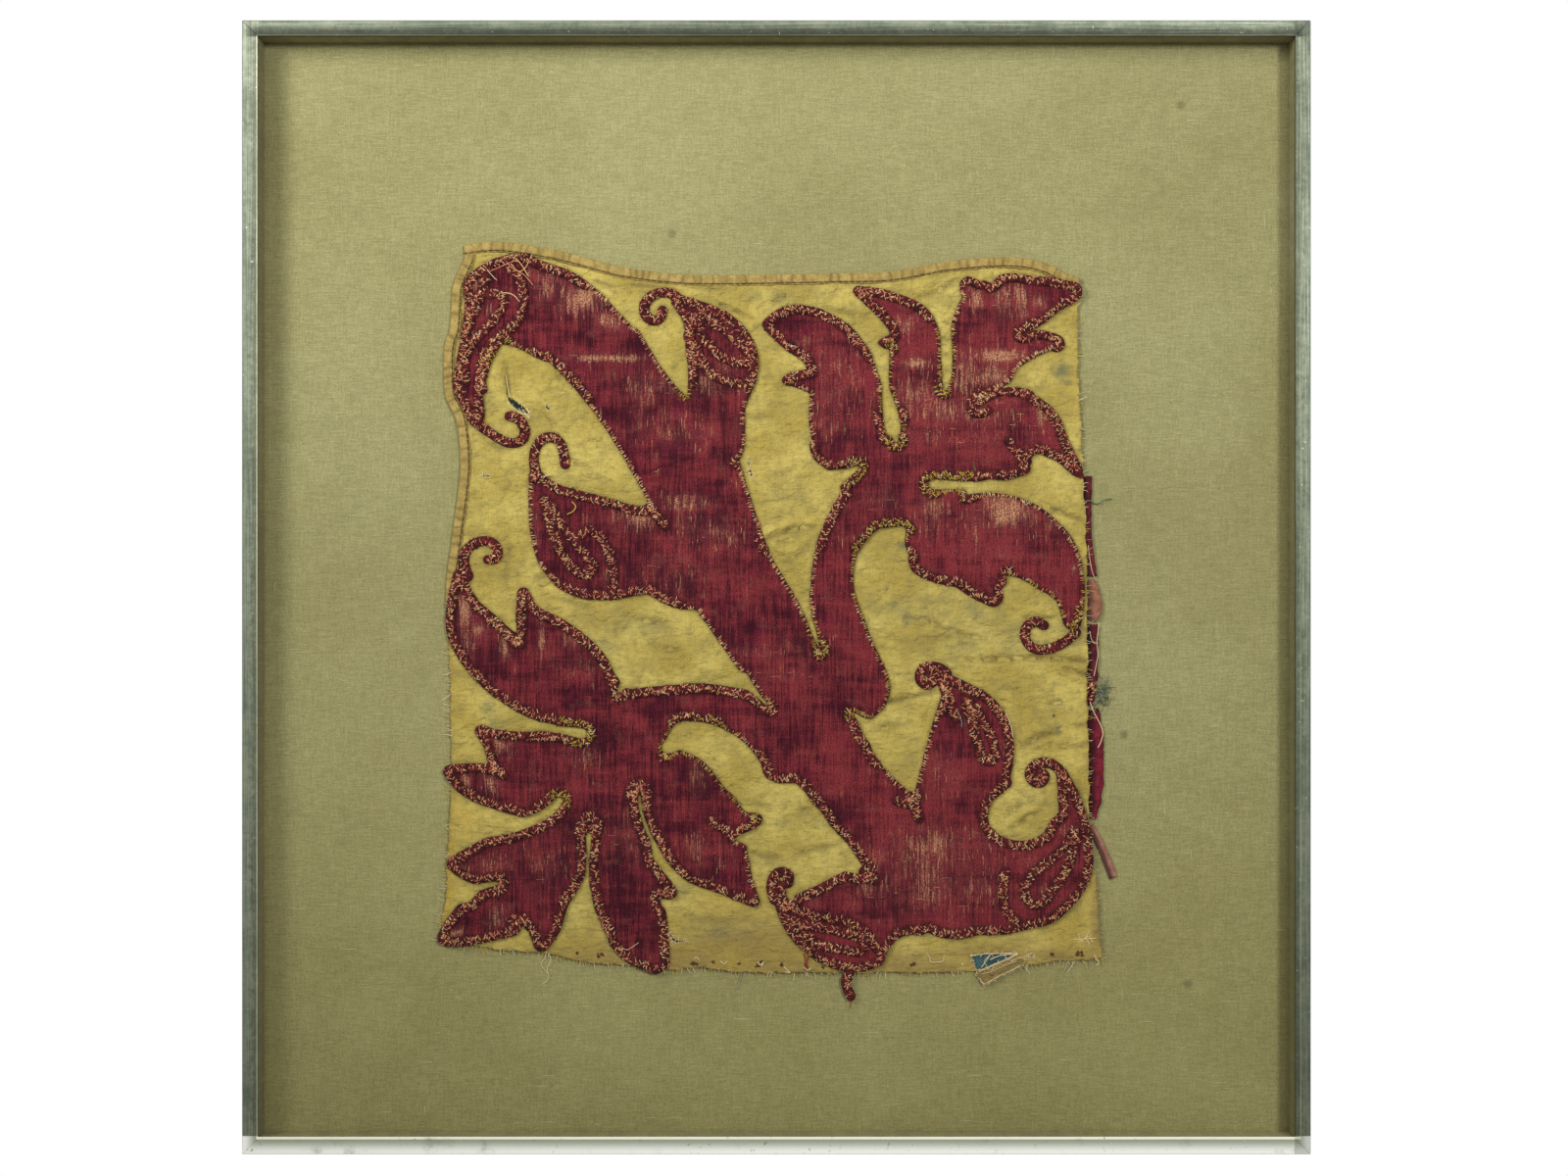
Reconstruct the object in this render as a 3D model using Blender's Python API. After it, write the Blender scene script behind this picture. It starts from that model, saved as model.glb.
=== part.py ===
"""Framed applique tapestry: a silk ground with velvet leaves and couched cord, mounted on
linen in a deep metal frame behind a clear sheet.

Row frame in metres: X to the viewer's right, Z up, Y back towards the wall.  The origin is
on the back of the top rail, at the middle of its length, where the frame meets the wall.
The textile is drawn in drawing units, x to the right and y down, as seen from the front.
"""
import math

import bpy
import numpy as np
from mathutils import Vector
from mathutils.geometry import delaunay_2d_cdt

GAP = 0.0003

# Frame.
FRAME_WIDTH = 0.818
FRAME_HEIGHT = 0.868
FRAME_DEPTH = 0.045
RAIL_FACE = 0.012
RAIL_WALL = 0.003
RAIL_FLANGE = 0.0025
RAIL_CHAMFER = 0.0006
FRAME_TOP = RAIL_FACE / 2
MIDDLE_Z = FRAME_TOP - FRAME_HEIGHT / 2

# Layers behind the front flange, from the viewer to the wall.
GLAZING_THICK = 0.003
SPACER_WIDE = 0.0082
BOARD_THICK = 0.006
BOARD_BACK = 0.0093
LINEN_THICK = 0.001
LINEN_FACE = BOARD_BACK + BOARD_THICK + GAP + LINEN_THICK

# Textile layers, measured forward from the face of the linen.
BINDING_THICK = 0.001
GROUND_LIFT = 2 * GAP + BINDING_THICK
GROUND_THICK = 0.0012
VELVET_THICK = 0.0012
CORD_HIGH = 0.003
STRIP_THICK = 0.001
RELIEF_HIGH = 0.0009

# Drawing units.
UNIT = 0.00076
DRAWN_CENTRE_X = 792.3
DRAWN_CENTRE_Y = 599.3
PAGE_LEFT = 436
PAGE_TOP = 236
PAGE_WIDE = 712
PAGE_HIGH = 800
CORD_HALF = 4.2
BINDING_WIDE = 10.8
BINDING_CLEAR = 0.5
BINDING_STEP = 17.0
STRIP_STEP = 24.0
SHEET_SPACING = 27.0
VELVET_SPACING = 25.0
CURVE_TOLERANCE = 0.8

# Edges of the silk ground.  Columns: x, y.
TOP_EDGE = [
    (474, 250), (502, 247), (530, 249), (560, 254), (590, 261), (615, 268), (640, 274), (680, 279),
    (720, 281), (800, 280), (850, 279), (900, 278), (930, 274), (960, 268), (1000, 264),
    (1030, 263), (1052, 265), (1072, 271), (1085, 278), (1102, 284),
]
LEFT_EDGE = [
    (474, 264), (463, 290), (461, 310), (459, 335), (454, 352), (453, 375), (455, 405),
    (466, 430), (470, 470), (468, 500), (464, 530), (460, 560), (456, 590), (455, 613),
]
LOWER_LEFT_EDGE = [
    (457, 640), (459, 690), (460, 780), (458, 850), (455, 900), (452, 930), (449, 960),
]
BOTTOM_EDGE = [
    (449, 960), (500, 968), (560, 974), (600, 982), (640, 985), (680, 990), (720, 988), (760, 992),
    (850, 993), (940, 993), (985, 992), (1045, 986), (1090, 980), (1125, 978),
]
RIGHT_EDGE = [
    (1125, 978), (1121, 940), (1118, 895), (1112, 840), (1111, 800), (1110, 700), (1109, 580),
    (1106, 487), (1102, 420), (1100, 350), (1101, 302),
]
# The worn hole low on the right, through which the lining shows.
HOLE_EDGE = [(986, 981), (990, 973), (1012, 970), (1036, 973), (1020, 983), (1000, 986)]

# The scrap of lining under the hole, hidden past the edge of the hole.
LINING_EDGE = [(978, 966), (1046, 966), (1046, 980), (1012, 990), (978, 989)]

# Velvet leaves.  Rows: leaf, then stations along its middle line.  Columns: x, y, half width.
LEAVES = {
    "hook": [(486, 424, 7), (479, 392, 14), (487, 348, 22), (506, 306, 35), (550, 307, 44),
             (600, 344, 44), (650, 411, 40), (704, 482, 50)],
    "hook_inner": [(498, 335, 14), (528, 328, 24), (560, 345, 22)],
    "trunk": [(704, 482, 50), (738, 574, 46), (768, 625, 44), (811, 690, 43), (843, 768, 42),
              (874, 810, 38), (925, 868, 54), (965, 893, 58)],
    "foot": [(965, 893, 58), (1010, 898, 54), (1050, 895, 50)],
    "boteh_east": [(1050, 895, 50), (1076, 882, 37), (1094, 845, 16), (1090, 812, 9),
                   (1083, 788, 4)],
    "boteh_south": [(975, 898, 58), (966, 838, 37), (986, 785, 44), (990, 746, 38),
                    (978, 712, 16), (965, 696, 7)],
    "boteh_foot": [(797, 920, 6), (832, 943, 26), (876, 948, 41), (925, 912, 42)],
    "stem_north": [(862, 700, 42), (857, 650, 28), (849, 600, 21), (857, 552, 20),
                   (888, 510, 28), (925, 480, 40)],
    "heel_north": [(866, 720, 13), (880, 706, 26), (868, 680, 30)],
    "leaf_a": [(784, 331, 5), (812, 335, 22), (845, 353, 28), (862, 390, 34), (863, 430, 36),
               (872, 460, 34), (890, 490, 30)],
    "heel_a": [(848, 456, 20), (870, 453, 21)],
    "barb_a": [(801, 388, 3), (822, 388, 9), (850, 395, 16)],
    "leaf_b": [(875, 297, 4), (905, 312, 13), (932, 336, 22), (934, 380, 26), (945, 430, 32),
               (960, 465, 45)],
    "barb_b": [(897, 350, 3), (915, 350, 7), (932, 356, 10)],
    "leaf_c": [(1094, 298, 9), (1060, 305, 21), (1018, 325, 40), (1004, 365, 34),
               (985, 410, 34), (960, 455, 50)],
    "corner_c": [(987, 291, 7), (1000, 306, 16)],
    "lobe_c": [(1077, 351, 4), (1050, 351, 13), (1015, 360, 25)],
    "leaf_d": [(1103, 486, 3), (1080, 458, 11), (1051, 434, 27), (1015, 441, 41),
               (960, 450, 50)],
    "lobe_d": [(1047, 488, 6), (1033, 476, 13), (980, 455, 30)],
    "leaf_e": [(1094, 633, 8), (1089, 600, 16), (1064, 567, 33), (1020, 550, 45),
               (962, 547, 42), (930, 505, 45)],
    "barb_e": [(1013, 609, 5), (1000, 592, 14), (985, 575, 20)],
    "boteh_west": [(546, 485, 4), (560, 512, 19), (581, 539, 38), (603, 558, 51),
                   (640, 562, 45), (668, 562, 43), (704, 575, 46)],
    "boteh_north": [(692, 307, 5), (715, 325, 20), (736, 360, 36), (731, 410, 29),
                    (725, 450, 34)],
    "stem_west": [(850, 770, 38), (800, 745, 37), (760, 728, 23), (720, 717, 18),
                  (680, 720, 19), (640, 745, 38), (610, 778, 48)],
    "heel_west": [(775, 765, 16), (797, 781, 16), (815, 775, 18)],
    "leaf_f": [(468, 584, 3), (472, 615, 13), (483, 643, 25), (513, 674, 32), (556, 691, 42),
               (600, 712, 34), (630, 745, 38)],
    "lobe_f": [(534, 604, 4), (541, 630, 12), (565, 665, 32), (590, 692, 34), (600, 715, 28)],
    "leaf_g": [(489, 744, 3), (510, 760, 14), (545, 785, 37), (600, 790, 48)],
    "leaf_h": [(459, 787, 5), (485, 797, 17), (520, 805, 22), (570, 800, 40)],
    "leaf_i": [(462, 881, 5), (485, 882, 17), (520, 876, 28), (575, 872, 40), (615, 820, 48)],
    "leaf_j": [(454, 957, 6), (475, 945, 18), (503, 928, 29), (545, 900, 42), (590, 850, 38)],
    "lobe_j": [(553, 962, 7), (556, 940, 17), (560, 905, 33)],
    "leaf_k": [(670, 984, 8), (652, 957, 25), (639, 920, 33), (632, 870, 31), (630, 820, 30)],
    "barb_k": [(688, 912, 4), (670, 902, 12), (650, 890, 20)],
    "leaf_l": [(770, 920, 4), (745, 892, 20), (715, 855, 42), (695, 813, 40), (680, 790, 28)],
    "barb_l": [(773, 836, 4), (752, 838, 12), (725, 825, 25)],
    "hub": [(600, 770, 28), (640, 795, 45), (680, 812, 38)],
}

# Bare silk between the leaves.  Same columns as the leaves.
CLEFTS = {
    "slot_east": [(952, 494, 7), (985, 495, 6), (1020, 494, 5), (1060, 492, 13)],
    "slot_c": [(1052, 387, 8), (1030, 394, 4), (1012, 401, 2.5), (996, 411, 2)],
    "slot_west": [(470, 726, 14), (530, 737, 7), (575, 745, 6), (594, 748, 7)],
    "slot_south_west": [(470, 842, 18), (520, 843, 9), (555, 831, 7), (571, 817, 6)],
    "eye_west": [(508, 901, 4), (490, 905, 5), (475, 915, 8)],
    "slot_south": [(596, 968, 29), (593, 932, 17), (598, 905, 7), (600, 880, 3), (601, 852, 5)],
    "slot_leaf_k": [(720, 935, 22), (690, 895, 6), (668, 862, 4), (655, 830, 3.5),
                    (653, 812, 3.5)],
    "notch_j": [(529, 966, 7), (532, 952, 4), (534, 942, 2)],
    "window_south": [(681, 762, 8), (701, 753, 13), (733, 762, 20), (757, 784, 21),
                     (765, 802, 19), (786, 820, 15), (808, 838, 20), (822, 862, 30),
                     (800, 890, 30)],
    "window_south_foot": [(830, 848, 17), (850, 868, 18), (868, 884, 12), (881, 891, 6)],
    "window_leaf_l": [(795, 870, 33), (775, 858, 10), (753, 856, 4)],
    "heel_west_edge": [(811, 802, 5), (818, 813, 8), (833, 840, 8), (848, 861, 8)],
    "window_east": [(920, 541, 6), (903, 561, 22), (905, 590, 32)],
    "window_heel_a": [(850, 489, 11), (866, 482, 6), (878, 475, 2)],
    "wedge_trunk": [(815, 596, 11), (823, 622, 6), (831, 647, 3.5), (837, 664, 2)],
    "wedge_heel": [(888, 747, 10), (878, 734, 5), (869, 726, 2)],
    "wedge_foot": [(884, 738, 7), (893, 752, 9), (905, 773, 10), (918, 792, 7), (929, 807, 3)],
    "wedge_branch": [(758, 692, 8), (772, 708, 4), (785, 721, 2)],
    "notch_f": [(642, 689, 8), (631, 706, 3)],
    "wedge_f": [(509, 618, 8), (519, 640, 3), (527, 652, 1.5)],
    "wedge_e": [(1072, 617, 5), (1056, 606, 7), (1040, 597, 8), (1029, 589, 4)],
    "window_boteh_east": [(1027, 803, 4), (1014, 824, 10), (1016, 842, 11), (1037, 850, 13),
                          (1058, 845, 13), (1071, 825, 10)],
    "notch_boteh_foot": [(952, 968, 11), (926, 968, 16), (909, 990, 12)],
    "notch_c": [(1011, 268, 16), (1011, 290, 2)],
    "wedge_c": [(1095, 330, 14), (1060, 335, 4), (1042, 341, 2)],
    "wedge_b": [(963, 300, 8), (966, 340, 6), (966, 375, 7), (964, 397, 4)],
    "wedge_a": [(890, 352, 6), (905, 400, 5), (912, 430, 8), (914, 450, 4)],
}

# Cord that runs on from the outline of the leaves.  Columns: x, y.
CURLS = {
    "curl_hook": [(484, 430), (505, 445), (520, 452), (532, 450), (536, 440), (530, 428),
                  (520, 425)],
    "curl_boteh_north": [(686, 301), (672, 298), (661, 303), (655, 315), (658, 327), (668, 331),
                         (676, 325), (674, 316)],
    "curl_boteh_west": [(546, 478), (545, 468), (548, 455), (558, 446), (568, 448), (575, 460),
                        (578, 473)],
    "curl_leaf_f": [(478, 588), (474, 576), (476, 562), (488, 553), (501, 553), (508, 561),
                    (506, 570), (498, 571)],
    "curl_leaf_e": [(1098, 645), (1086, 655), (1070, 662), (1055, 662), (1046, 652), (1047, 640),
                    (1056, 634), (1065, 638)],
    "curl_boteh_south": [(958, 688), (951, 680), (942, 680), (935, 688), (938, 698), (947, 699)],
    "curl_boteh_east": [(1076, 778), (1064, 775), (1052, 780), (1048, 790), (1055, 799),
                        (1063, 796)],
    "curl_boteh_foot": [(790, 915), (786, 903), (790, 893), (798, 889), (805, 894), (804, 904)],
    "tail_trunk": [(667, 522), (679, 537)],
    "tail_leaf_h": [(502, 783), (509, 788), (515, 791)],
    "tail_foot": [(932, 812), (935, 824), (937, 835)],
    "tail_trunk_foot": [(881, 889), (892, 897)],
    "loose_end": [(866, 994), (863, 1003), (868, 1016)],
}

# Cord laid on the velvet inside the botehs.  Columns: x, y.
LOOPS = {
    "cord_hook_outer": [(508, 274), (524, 280), (534, 298), (534, 318), (524, 336),
                        (506, 349), (495, 366), (489, 388)],
    "cord_hook_inner": [(497, 290), (510, 300), (510, 318), (496, 336), (480, 352),
                        (474, 372), (477, 392)],
    "cord_north_outer": [(711, 362), (723, 380), (740, 390), (757, 390)],
    "cord_north_inner": [(710, 322), (718, 342), (732, 358), (748, 366), (753, 358),
                         (742, 344), (726, 330), (712, 320)],
    "cord_west_inner": [(561, 510), (564, 530), (570, 552), (581, 573), (595, 586), (605, 580),
                        (600, 562), (586, 541), (568, 514)],
    "cord_west_outer": [(602, 532), (614, 546), (623, 568), (625, 590)],
    "cord_south_inner": [(983, 716), (988, 740), (995, 762), (1005, 772), (1014, 762),
                         (1009, 738), (995, 716)],
    "cord_east_outer": [(1023, 890), (1021, 910), (1025, 927), (1038, 936), (1058, 936)],
    "cord_east_inner": [(1090, 852), (1077, 871), (1058, 888), (1047, 903), (1047, 917),
                        (1061, 922), (1075, 908), (1086, 888), (1096, 866)],
    "cord_foot_outer": [(806, 927), (832, 935), (860, 941), (882, 950), (893, 962)],
    "cord_foot_inner": [(818, 948), (840, 957), (862, 964), (872, 972)],
}

# Velvet and tape sewn behind the right edge, that show past it.  Columns: y, inner x, outer x.
RIGHT_STRIPS = {
    "velvet_strip_upper": [(486, 1102, 1114), (540, 1103, 1113), (588, 1105, 1119)],
    "tape_middle": [(591, 1105, 1120), (612, 1105, 1123), (634, 1106, 1121)],
    "velvet_strip_middle": [(637, 1106, 1121), (690, 1106, 1122), (720, 1107, 1117)],
    "velvet_strip_lower": [(723, 1107, 1121), (750, 1107, 1126), (800, 1107, 1126),
                           (820, 1108, 1123), (836, 1109, 1118)],
}
TAPE_TAIL = [(1112, 843), (1119, 854), (1126, 870), (1136, 896)]
TAPE_TAIL_HALF = 4.0

# Colours are linear red, green, blue.
FINISHES = {
    "aged_metal": ((0.16, 0.20, 0.17), 0.42, 0.9),
    "clear_sheet": ((0.90, 0.93, 0.90), 0.05, 0.0),
    "linen": ((0.34, 0.30, 0.14), 0.92, 0.0),
    "board": ((0.42, 0.33, 0.22), 0.90, 0.0),
    "silk": ((0.58, 0.45, 0.12), 0.62, 0.0),
    "velvet": ((0.11, 0.012, 0.024), 0.85, 0.0),
    "cord": ((0.24, 0.045, 0.03), 0.80, 0.0),
    "binding": ((0.47, 0.29, 0.10), 0.85, 0.0),
    "lining": ((0.03, 0.12, 0.16), 0.85, 0.0),
    "tape": ((0.42, 0.13, 0.10), 0.85, 0.0),
}


def clear_scene():
    for item in list(bpy.data.objects):
        bpy.data.objects.remove(item)


def finish(name):
    material = bpy.data.materials.get(name) or bpy.data.materials.new(name)
    colour, roughness, metallic = FINISHES[name]
    material.use_nodes = True
    shader = material.node_tree.nodes["Principled BSDF"]
    shader.inputs["Base Color"].default_value = (*colour, 1.0)
    shader.inputs["Roughness"].default_value = roughness
    shader.inputs["Metallic"].default_value = metallic
    return material


def add_object(name, vertices, faces, material_name):
    mesh = bpy.data.meshes.new(name)
    mesh.from_pydata([tuple(point) for point in vertices], [], faces)
    mesh.update()
    mesh.materials.append(finish(material_name))
    item = bpy.data.objects.new(name, mesh)
    bpy.context.scene.collection.objects.link(item)
    return item


def sheet_x(x):
    return (x - DRAWN_CENTRE_X) * UNIT


def sheet_z(y):
    return MIDDLE_Z - (y - DRAWN_CENTRE_Y) * UNIT


def relief(x, y):
    """Slow rise and fall of the cloth, in metres, never below nought."""
    first = math.sin(0.0175 * x + 0.011 * y + 0.6)
    second = math.sin(0.0210 * y - 0.012 * x + 2.1)
    return RELIEF_HIGH * (0.5 + 0.25 * first + 0.25 * second)


def on_sheet(x, y, forward):
    """Point of the cloth that is a given distance in front of the linen."""
    return Vector((sheet_x(x), -LINEN_FACE - forward - relief(x, y), sheet_z(y)))


def smooth_track(stations, pieces=6):
    """Curve through the stations, every column followed alike."""
    rows = np.array(stations, float)
    if len(rows) < 3:
        return [tuple(rows[0] + (rows[-1] - rows[0]) * step / pieces) for step in range(pieces + 1)]
    ends = np.vstack([2 * rows[0] - rows[1], rows, 2 * rows[-1] - rows[-2]])
    points = []
    for index in range(1, len(ends) - 2):
        before, start, end, after = ends[index - 1:index + 3]
        for step in range(pieces):
            t = step / pieces
            slope = (end - before) * t
            bend = (2 * before - 5 * start + 4 * end - after) * t * t
            twist = (3 * start - 3 * end + after - before) * t ** 3
            points.append(tuple(start + 0.5 * (slope + bend + twist)))
    points.append(tuple(rows[-1]))
    return points


def even_track(points, spacing):
    """The same line with its points an even distance apart."""
    rows = np.array(points, float)
    steps = np.hypot(*np.diff(rows[:, :2], axis=0).T)
    along = np.concatenate([[0.0], np.cumsum(steps)])
    count = max(2, int(round(along[-1] / spacing)) + 1)
    wanted = np.linspace(0.0, along[-1], count)
    return [tuple(np.interp(place, along, column) for column in rows.T) for place in wanted]


def page():
    columns = np.arange(PAGE_LEFT, PAGE_LEFT + PAGE_WIDE, 1.0)
    lines = np.arange(PAGE_TOP, PAGE_TOP + PAGE_HIGH, 1.0)
    return columns, lines


def depth_in_strokes(strokes, reach=16.0):
    """Depth inside the nearest stroke at each place on the page, less than nought outside."""
    columns, lines = page()
    depth = np.full((len(lines), len(columns)), -1000.0)
    for stroke in strokes:
        for start, end in zip(stroke[:-1], stroke[1:]):
            margin = max(start[2], end[2]) + reach
            left, right = np.searchsorted(
                columns, [min(start[0], end[0]) - margin, max(start[0], end[0]) + margin])
            top, bottom = np.searchsorted(
                lines, [min(start[1], end[1]) - margin, max(start[1], end[1]) + margin])
            across = columns[left:right][None, :] - start[0]
            down = lines[top:bottom][:, None] - start[1]
            run = (end[0] - start[0], end[1] - start[1])
            length = max(run[0] ** 2 + run[1] ** 2, 1e-9)
            t = np.clip((across * run[0] + down * run[1]) / length, 0.0, 1.0)
            away = np.hypot(across - run[0] * t, down - run[1] * t)
            view = depth[top:bottom, left:right]
            np.maximum(view, start[2] + (end[2] - start[2]) * t - away, out=view)
    return depth


def with_width(track, half):
    return [(point[0], point[1], half) for point in track]


def soften(depth, passes=3):
    """The same depths with small kinks smoothed away, as a sewn edge is."""
    for _ in range(passes):
        padded = np.pad(depth, 1, mode="edge")
        beside = padded[1:-1, :-2] + padded[1:-1, 2:] + padded[:-2, 1:-1] + padded[2:, 1:-1]
        depth = 0.5 * depth + 0.125 * beside
    return depth


def trace_loops(depth):
    """Closed outlines of the places where the depth is above nought."""
    inside = depth > 0
    corners = (inside[:-1, :-1] + 2 * inside[:-1, 1:] + 4 * inside[1:, 1:] + 8 * inside[1:, :-1])
    following = {}

    def crossing(line, column, side):
        ends = {
            "top": ((line, column), (line, column + 1)),
            "right": ((line, column + 1), (line + 1, column + 1)),
            "bottom": ((line + 1, column), (line + 1, column + 1)),
            "left": ((line, column), (line + 1, column)),
        }
        first, second = ends[side]
        return first + second

    turns = {
        1: [("left", "top")], 2: [("top", "right")], 3: [("left", "right")],
        4: [("right", "bottom")], 5: [("left", "top"), ("right", "bottom")],
        6: [("top", "bottom")], 7: [("left", "bottom")], 8: [("bottom", "left")],
        9: [("bottom", "top")], 10: [("top", "right"), ("bottom", "left")],
        11: [("bottom", "right")], 12: [("right", "left")], 13: [("right", "top")],
        14: [("top", "left")],
    }
    for line, column in zip(*np.nonzero((corners > 0) & (corners < 15))):
        for side_in, side_out in turns[int(corners[line, column])]:
            following[crossing(line, column, side_in)] = crossing(line, column, side_out)
    loops = []
    while following:
        start = next(iter(following))
        here = start
        loop = []
        while here in following:
            line_a, column_a, line_b, column_b = here
            first = depth[line_a, column_a]
            second = depth[line_b, column_b]
            t = min(0.98, max(0.02, first / (first - second)))
            loop.append((PAGE_LEFT + column_a + (column_b - column_a) * t,
                         PAGE_TOP + line_a + (line_b - line_a) * t))
            here = following.pop(here)
        if len(loop) > 8:
            loops.append(loop)
    return loops


def thin_line(points, tolerance, longest):
    """Few of the points, that keep the line within the tolerance and no span too long."""
    rows = np.array(points, float)
    keep = {0, len(rows) - 1}
    waiting = [(0, len(rows) - 1)]
    while waiting:
        first, last = waiting.pop()
        if last - first < 2:
            continue
        run = rows[last] - rows[first]
        length = max(math.hypot(run[0], run[1]), 1e-9)
        between = rows[first + 1:last] - rows[first]
        away = np.abs(between[:, 0] * run[1] - between[:, 1] * run[0]) / length
        furthest = int(np.argmax(away))
        if away[furthest] <= tolerance and length > longest:
            furthest = len(away) // 2
        if away[furthest] > tolerance or length > longest:
            middle = first + 1 + furthest
            keep.add(middle)
            waiting += [(first, middle), (middle, last)]
    return [tuple(rows[index]) for index in sorted(keep)]


def thin_loop(loop, tolerance=CURVE_TOLERANCE, longest=34.0):
    half = len(loop) // 2
    line = thin_line(loop[:half + 1], tolerance, longest)[:-1]
    return line + thin_line(loop[half:] + loop[:1], tolerance, longest)[:-1]


def loop_area(loop):
    rows = np.array(loop)
    after = np.roll(rows, -1, axis=0)
    return 0.5 * float(np.sum(rows[:, 0] * after[:, 1] - after[:, 0] * rows[:, 1]))


def inside_loops(places, loops):
    """Even and odd crossings of the loops, true where a place is inside."""
    places = np.array(places, float).reshape(-1, 2)
    inside = np.zeros(len(places), bool)
    for loop in loops:
        rows = np.array(loop)
        after = np.roll(rows, -1, axis=0)
        for (x0, y0), (x1, y1) in zip(rows, after):
            if y0 == y1:
                continue
            spans = (places[:, 1] >= min(y0, y1)) & (places[:, 1] < max(y0, y1))
            meets = x0 + (places[:, 1] - y0) * (x1 - x0) / (y1 - y0)
            inside ^= spans & (places[:, 0] < meets)
    return inside


def distance_to_loops(places, loops):
    places = np.array(places, float).reshape(-1, 2)
    nearest = np.full(len(places), 1e9)
    for loop in loops:
        rows = np.array(loop)
        after = np.roll(rows, -1, axis=0)
        for start, end in zip(rows, after):
            run = end - start
            length = max(float(run @ run), 1e-12)
            t = np.clip((places - start) @ run / length, 0.0, 1.0)
            away = np.hypot(*(places - start - t[:, None] * run).T)
            np.minimum(nearest, away, out=nearest)
    return nearest


def fill(loops, inner_points=(), inner_lines=()):
    """Triangles that fill the loops, as a list of places and a list of triples."""
    places = []
    edges = []
    for loop in loops:
        first = len(places)
        places += loop
        edges += [(first + index, first + (index + 1) % len(loop)) for index in range(len(loop))]
    for line in inner_lines:
        first = len(places)
        places += line
        edges += [(first + index, first + index + 1) for index in range(len(line) - 1)]
    places += list(inner_points)
    flat = [Vector(place) for place in places]
    found, _, triangles, _, _, _ = delaunay_2d_cdt(flat, edges, [], 0, 1e-4)
    found = [tuple(place) for place in found]
    middles = [np.mean([found[corner] for corner in triangle], axis=0) for triangle in triangles]
    kept = [tuple(triangle) for triangle, inside in zip(triangles, inside_loops(middles, loops))
            if inside]
    return found, kept


def facing(triangle, places):
    """The triangle with its corners in the order that faces the viewer."""
    (x0, y0), (x1, y1), (x2, y2) = [places[corner] for corner in triangle]
    turn = (x1 - x0) * (y2 - y0) - (x2 - x0) * (y1 - y0)
    return triangle if turn < 0 else triangle[::-1]


def grid_points(loops, spacing):
    rows = np.array([point for loop in loops for point in loop])
    points = []
    line = 0
    y = rows[:, 1].min()
    while y < rows[:, 1].max():
        x = rows[:, 0].min() + (spacing / 2 if line % 2 else 0.0)
        while x < rows[:, 0].max():
            points.append((x, y))
            x += spacing
        y += spacing * 0.866
        line += 1
    places = np.array(points)
    keep = inside_loops(places, loops) & (distance_to_loops(places, loops) > 0.42 * spacing)
    return [tuple(place) for place in places[keep]]


def sheet_solid(name, loops, forward, thick, spacing, material_name):
    """Sheet of even thickness that fills the loops and follows the relief."""
    places, triangles = fill(loops, grid_points(loops, spacing))
    used = sorted({corner for triangle in triangles for corner in triangle})
    rank = {corner: index for index, corner in enumerate(used)}
    count = len(used)
    vertices = [on_sheet(*places[corner], forward + thick) for corner in used]
    vertices += [on_sheet(*places[corner], forward) for corner in used]
    faces = []
    rim = {}
    for triangle in triangles:
        a, b, c = [rank[corner] for corner in facing(triangle, places)]
        faces.append((a, b, c))
        faces.append((c + count, b + count, a + count))
        for edge in ((a, b), (b, c), (c, a)):
            if edge[::-1] in rim:
                del rim[edge[::-1]]
            else:
                rim[edge] = True
    for start, end in rim:
        faces.append((end, start, start + count))
        faces.append((end, start + count, end + count))
    return add_object(name, vertices, faces, material_name)


def place_key(place):
    return round(place[0], 3), round(place[1], 3)


def flat_bridges(places, triangles, rim_keys):
    """Middles of the inner edges that run from rim to rim, where the cord would have no height."""
    seen = {}
    for triangle in triangles:
        for start, end in zip(triangle, triangle[1:] + triangle[:1]):
            edge = (min(start, end), max(start, end))
            seen[edge] = seen.get(edge, 0) + 1
    middles = []
    for (start, end), count in seen.items():
        ends = places[start], places[end]
        if count == 2 and place_key(ends[0]) in rim_keys and place_key(ends[1]) in rim_keys:
            middles.append(((ends[0][0] + ends[1][0]) / 2, (ends[0][1] + ends[1][1]) / 2))
    return middles


def cord_solid(name, loops, ridges, forward, high, material_name):
    """Cord with a flat foot that fills the loops and a ridge along each middle line."""
    foot_places, foot_triangles = fill(loops)
    rim_keys = {place_key(place) for place in foot_places}
    inner_points = []
    for _ in range(6):
        top_places, top_triangles = fill(loops, inner_points, ridges)
        bridges = flat_bridges(top_places, top_triangles, rim_keys)
        if not bridges:
            break
        inner_points += bridges
    vertices = []
    known = {}

    def corner_index(place, rise):
        key = place_key(place)
        if key not in known:
            known[key] = len(vertices)
            vertices.append(on_sheet(place[0], place[1], forward + rise))
        return known[key]

    for place in foot_places:
        corner_index(place, 0.0)
    faces = []
    for triangle in foot_triangles:
        a, b, c = [corner_index(foot_places[corner], 0.0) for corner in facing(triangle, foot_places)]
        faces.append((c, b, a))
    for triangle in top_triangles:
        turned = facing(triangle, top_places)
        faces.append(tuple(corner_index(top_places[corner], high) for corner in turned))
    return add_object(name, vertices, faces, material_name)


def ridge_lines(track, region_depth, spacing=11.0, least=2.2):
    """Parts of a middle line that are well inside the region."""
    lines = []
    current = []
    for x, y in even_track(track, spacing):
        column = int(round(x - PAGE_LEFT))
        line = int(round(y - PAGE_TOP))
        if region_depth[line, column] > least:
            current.append((x, y))
        else:
            if len(current) > 1:
                lines.append(current)
            current = []
    if len(current) > 1:
        lines.append(current)
    return lines


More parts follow.
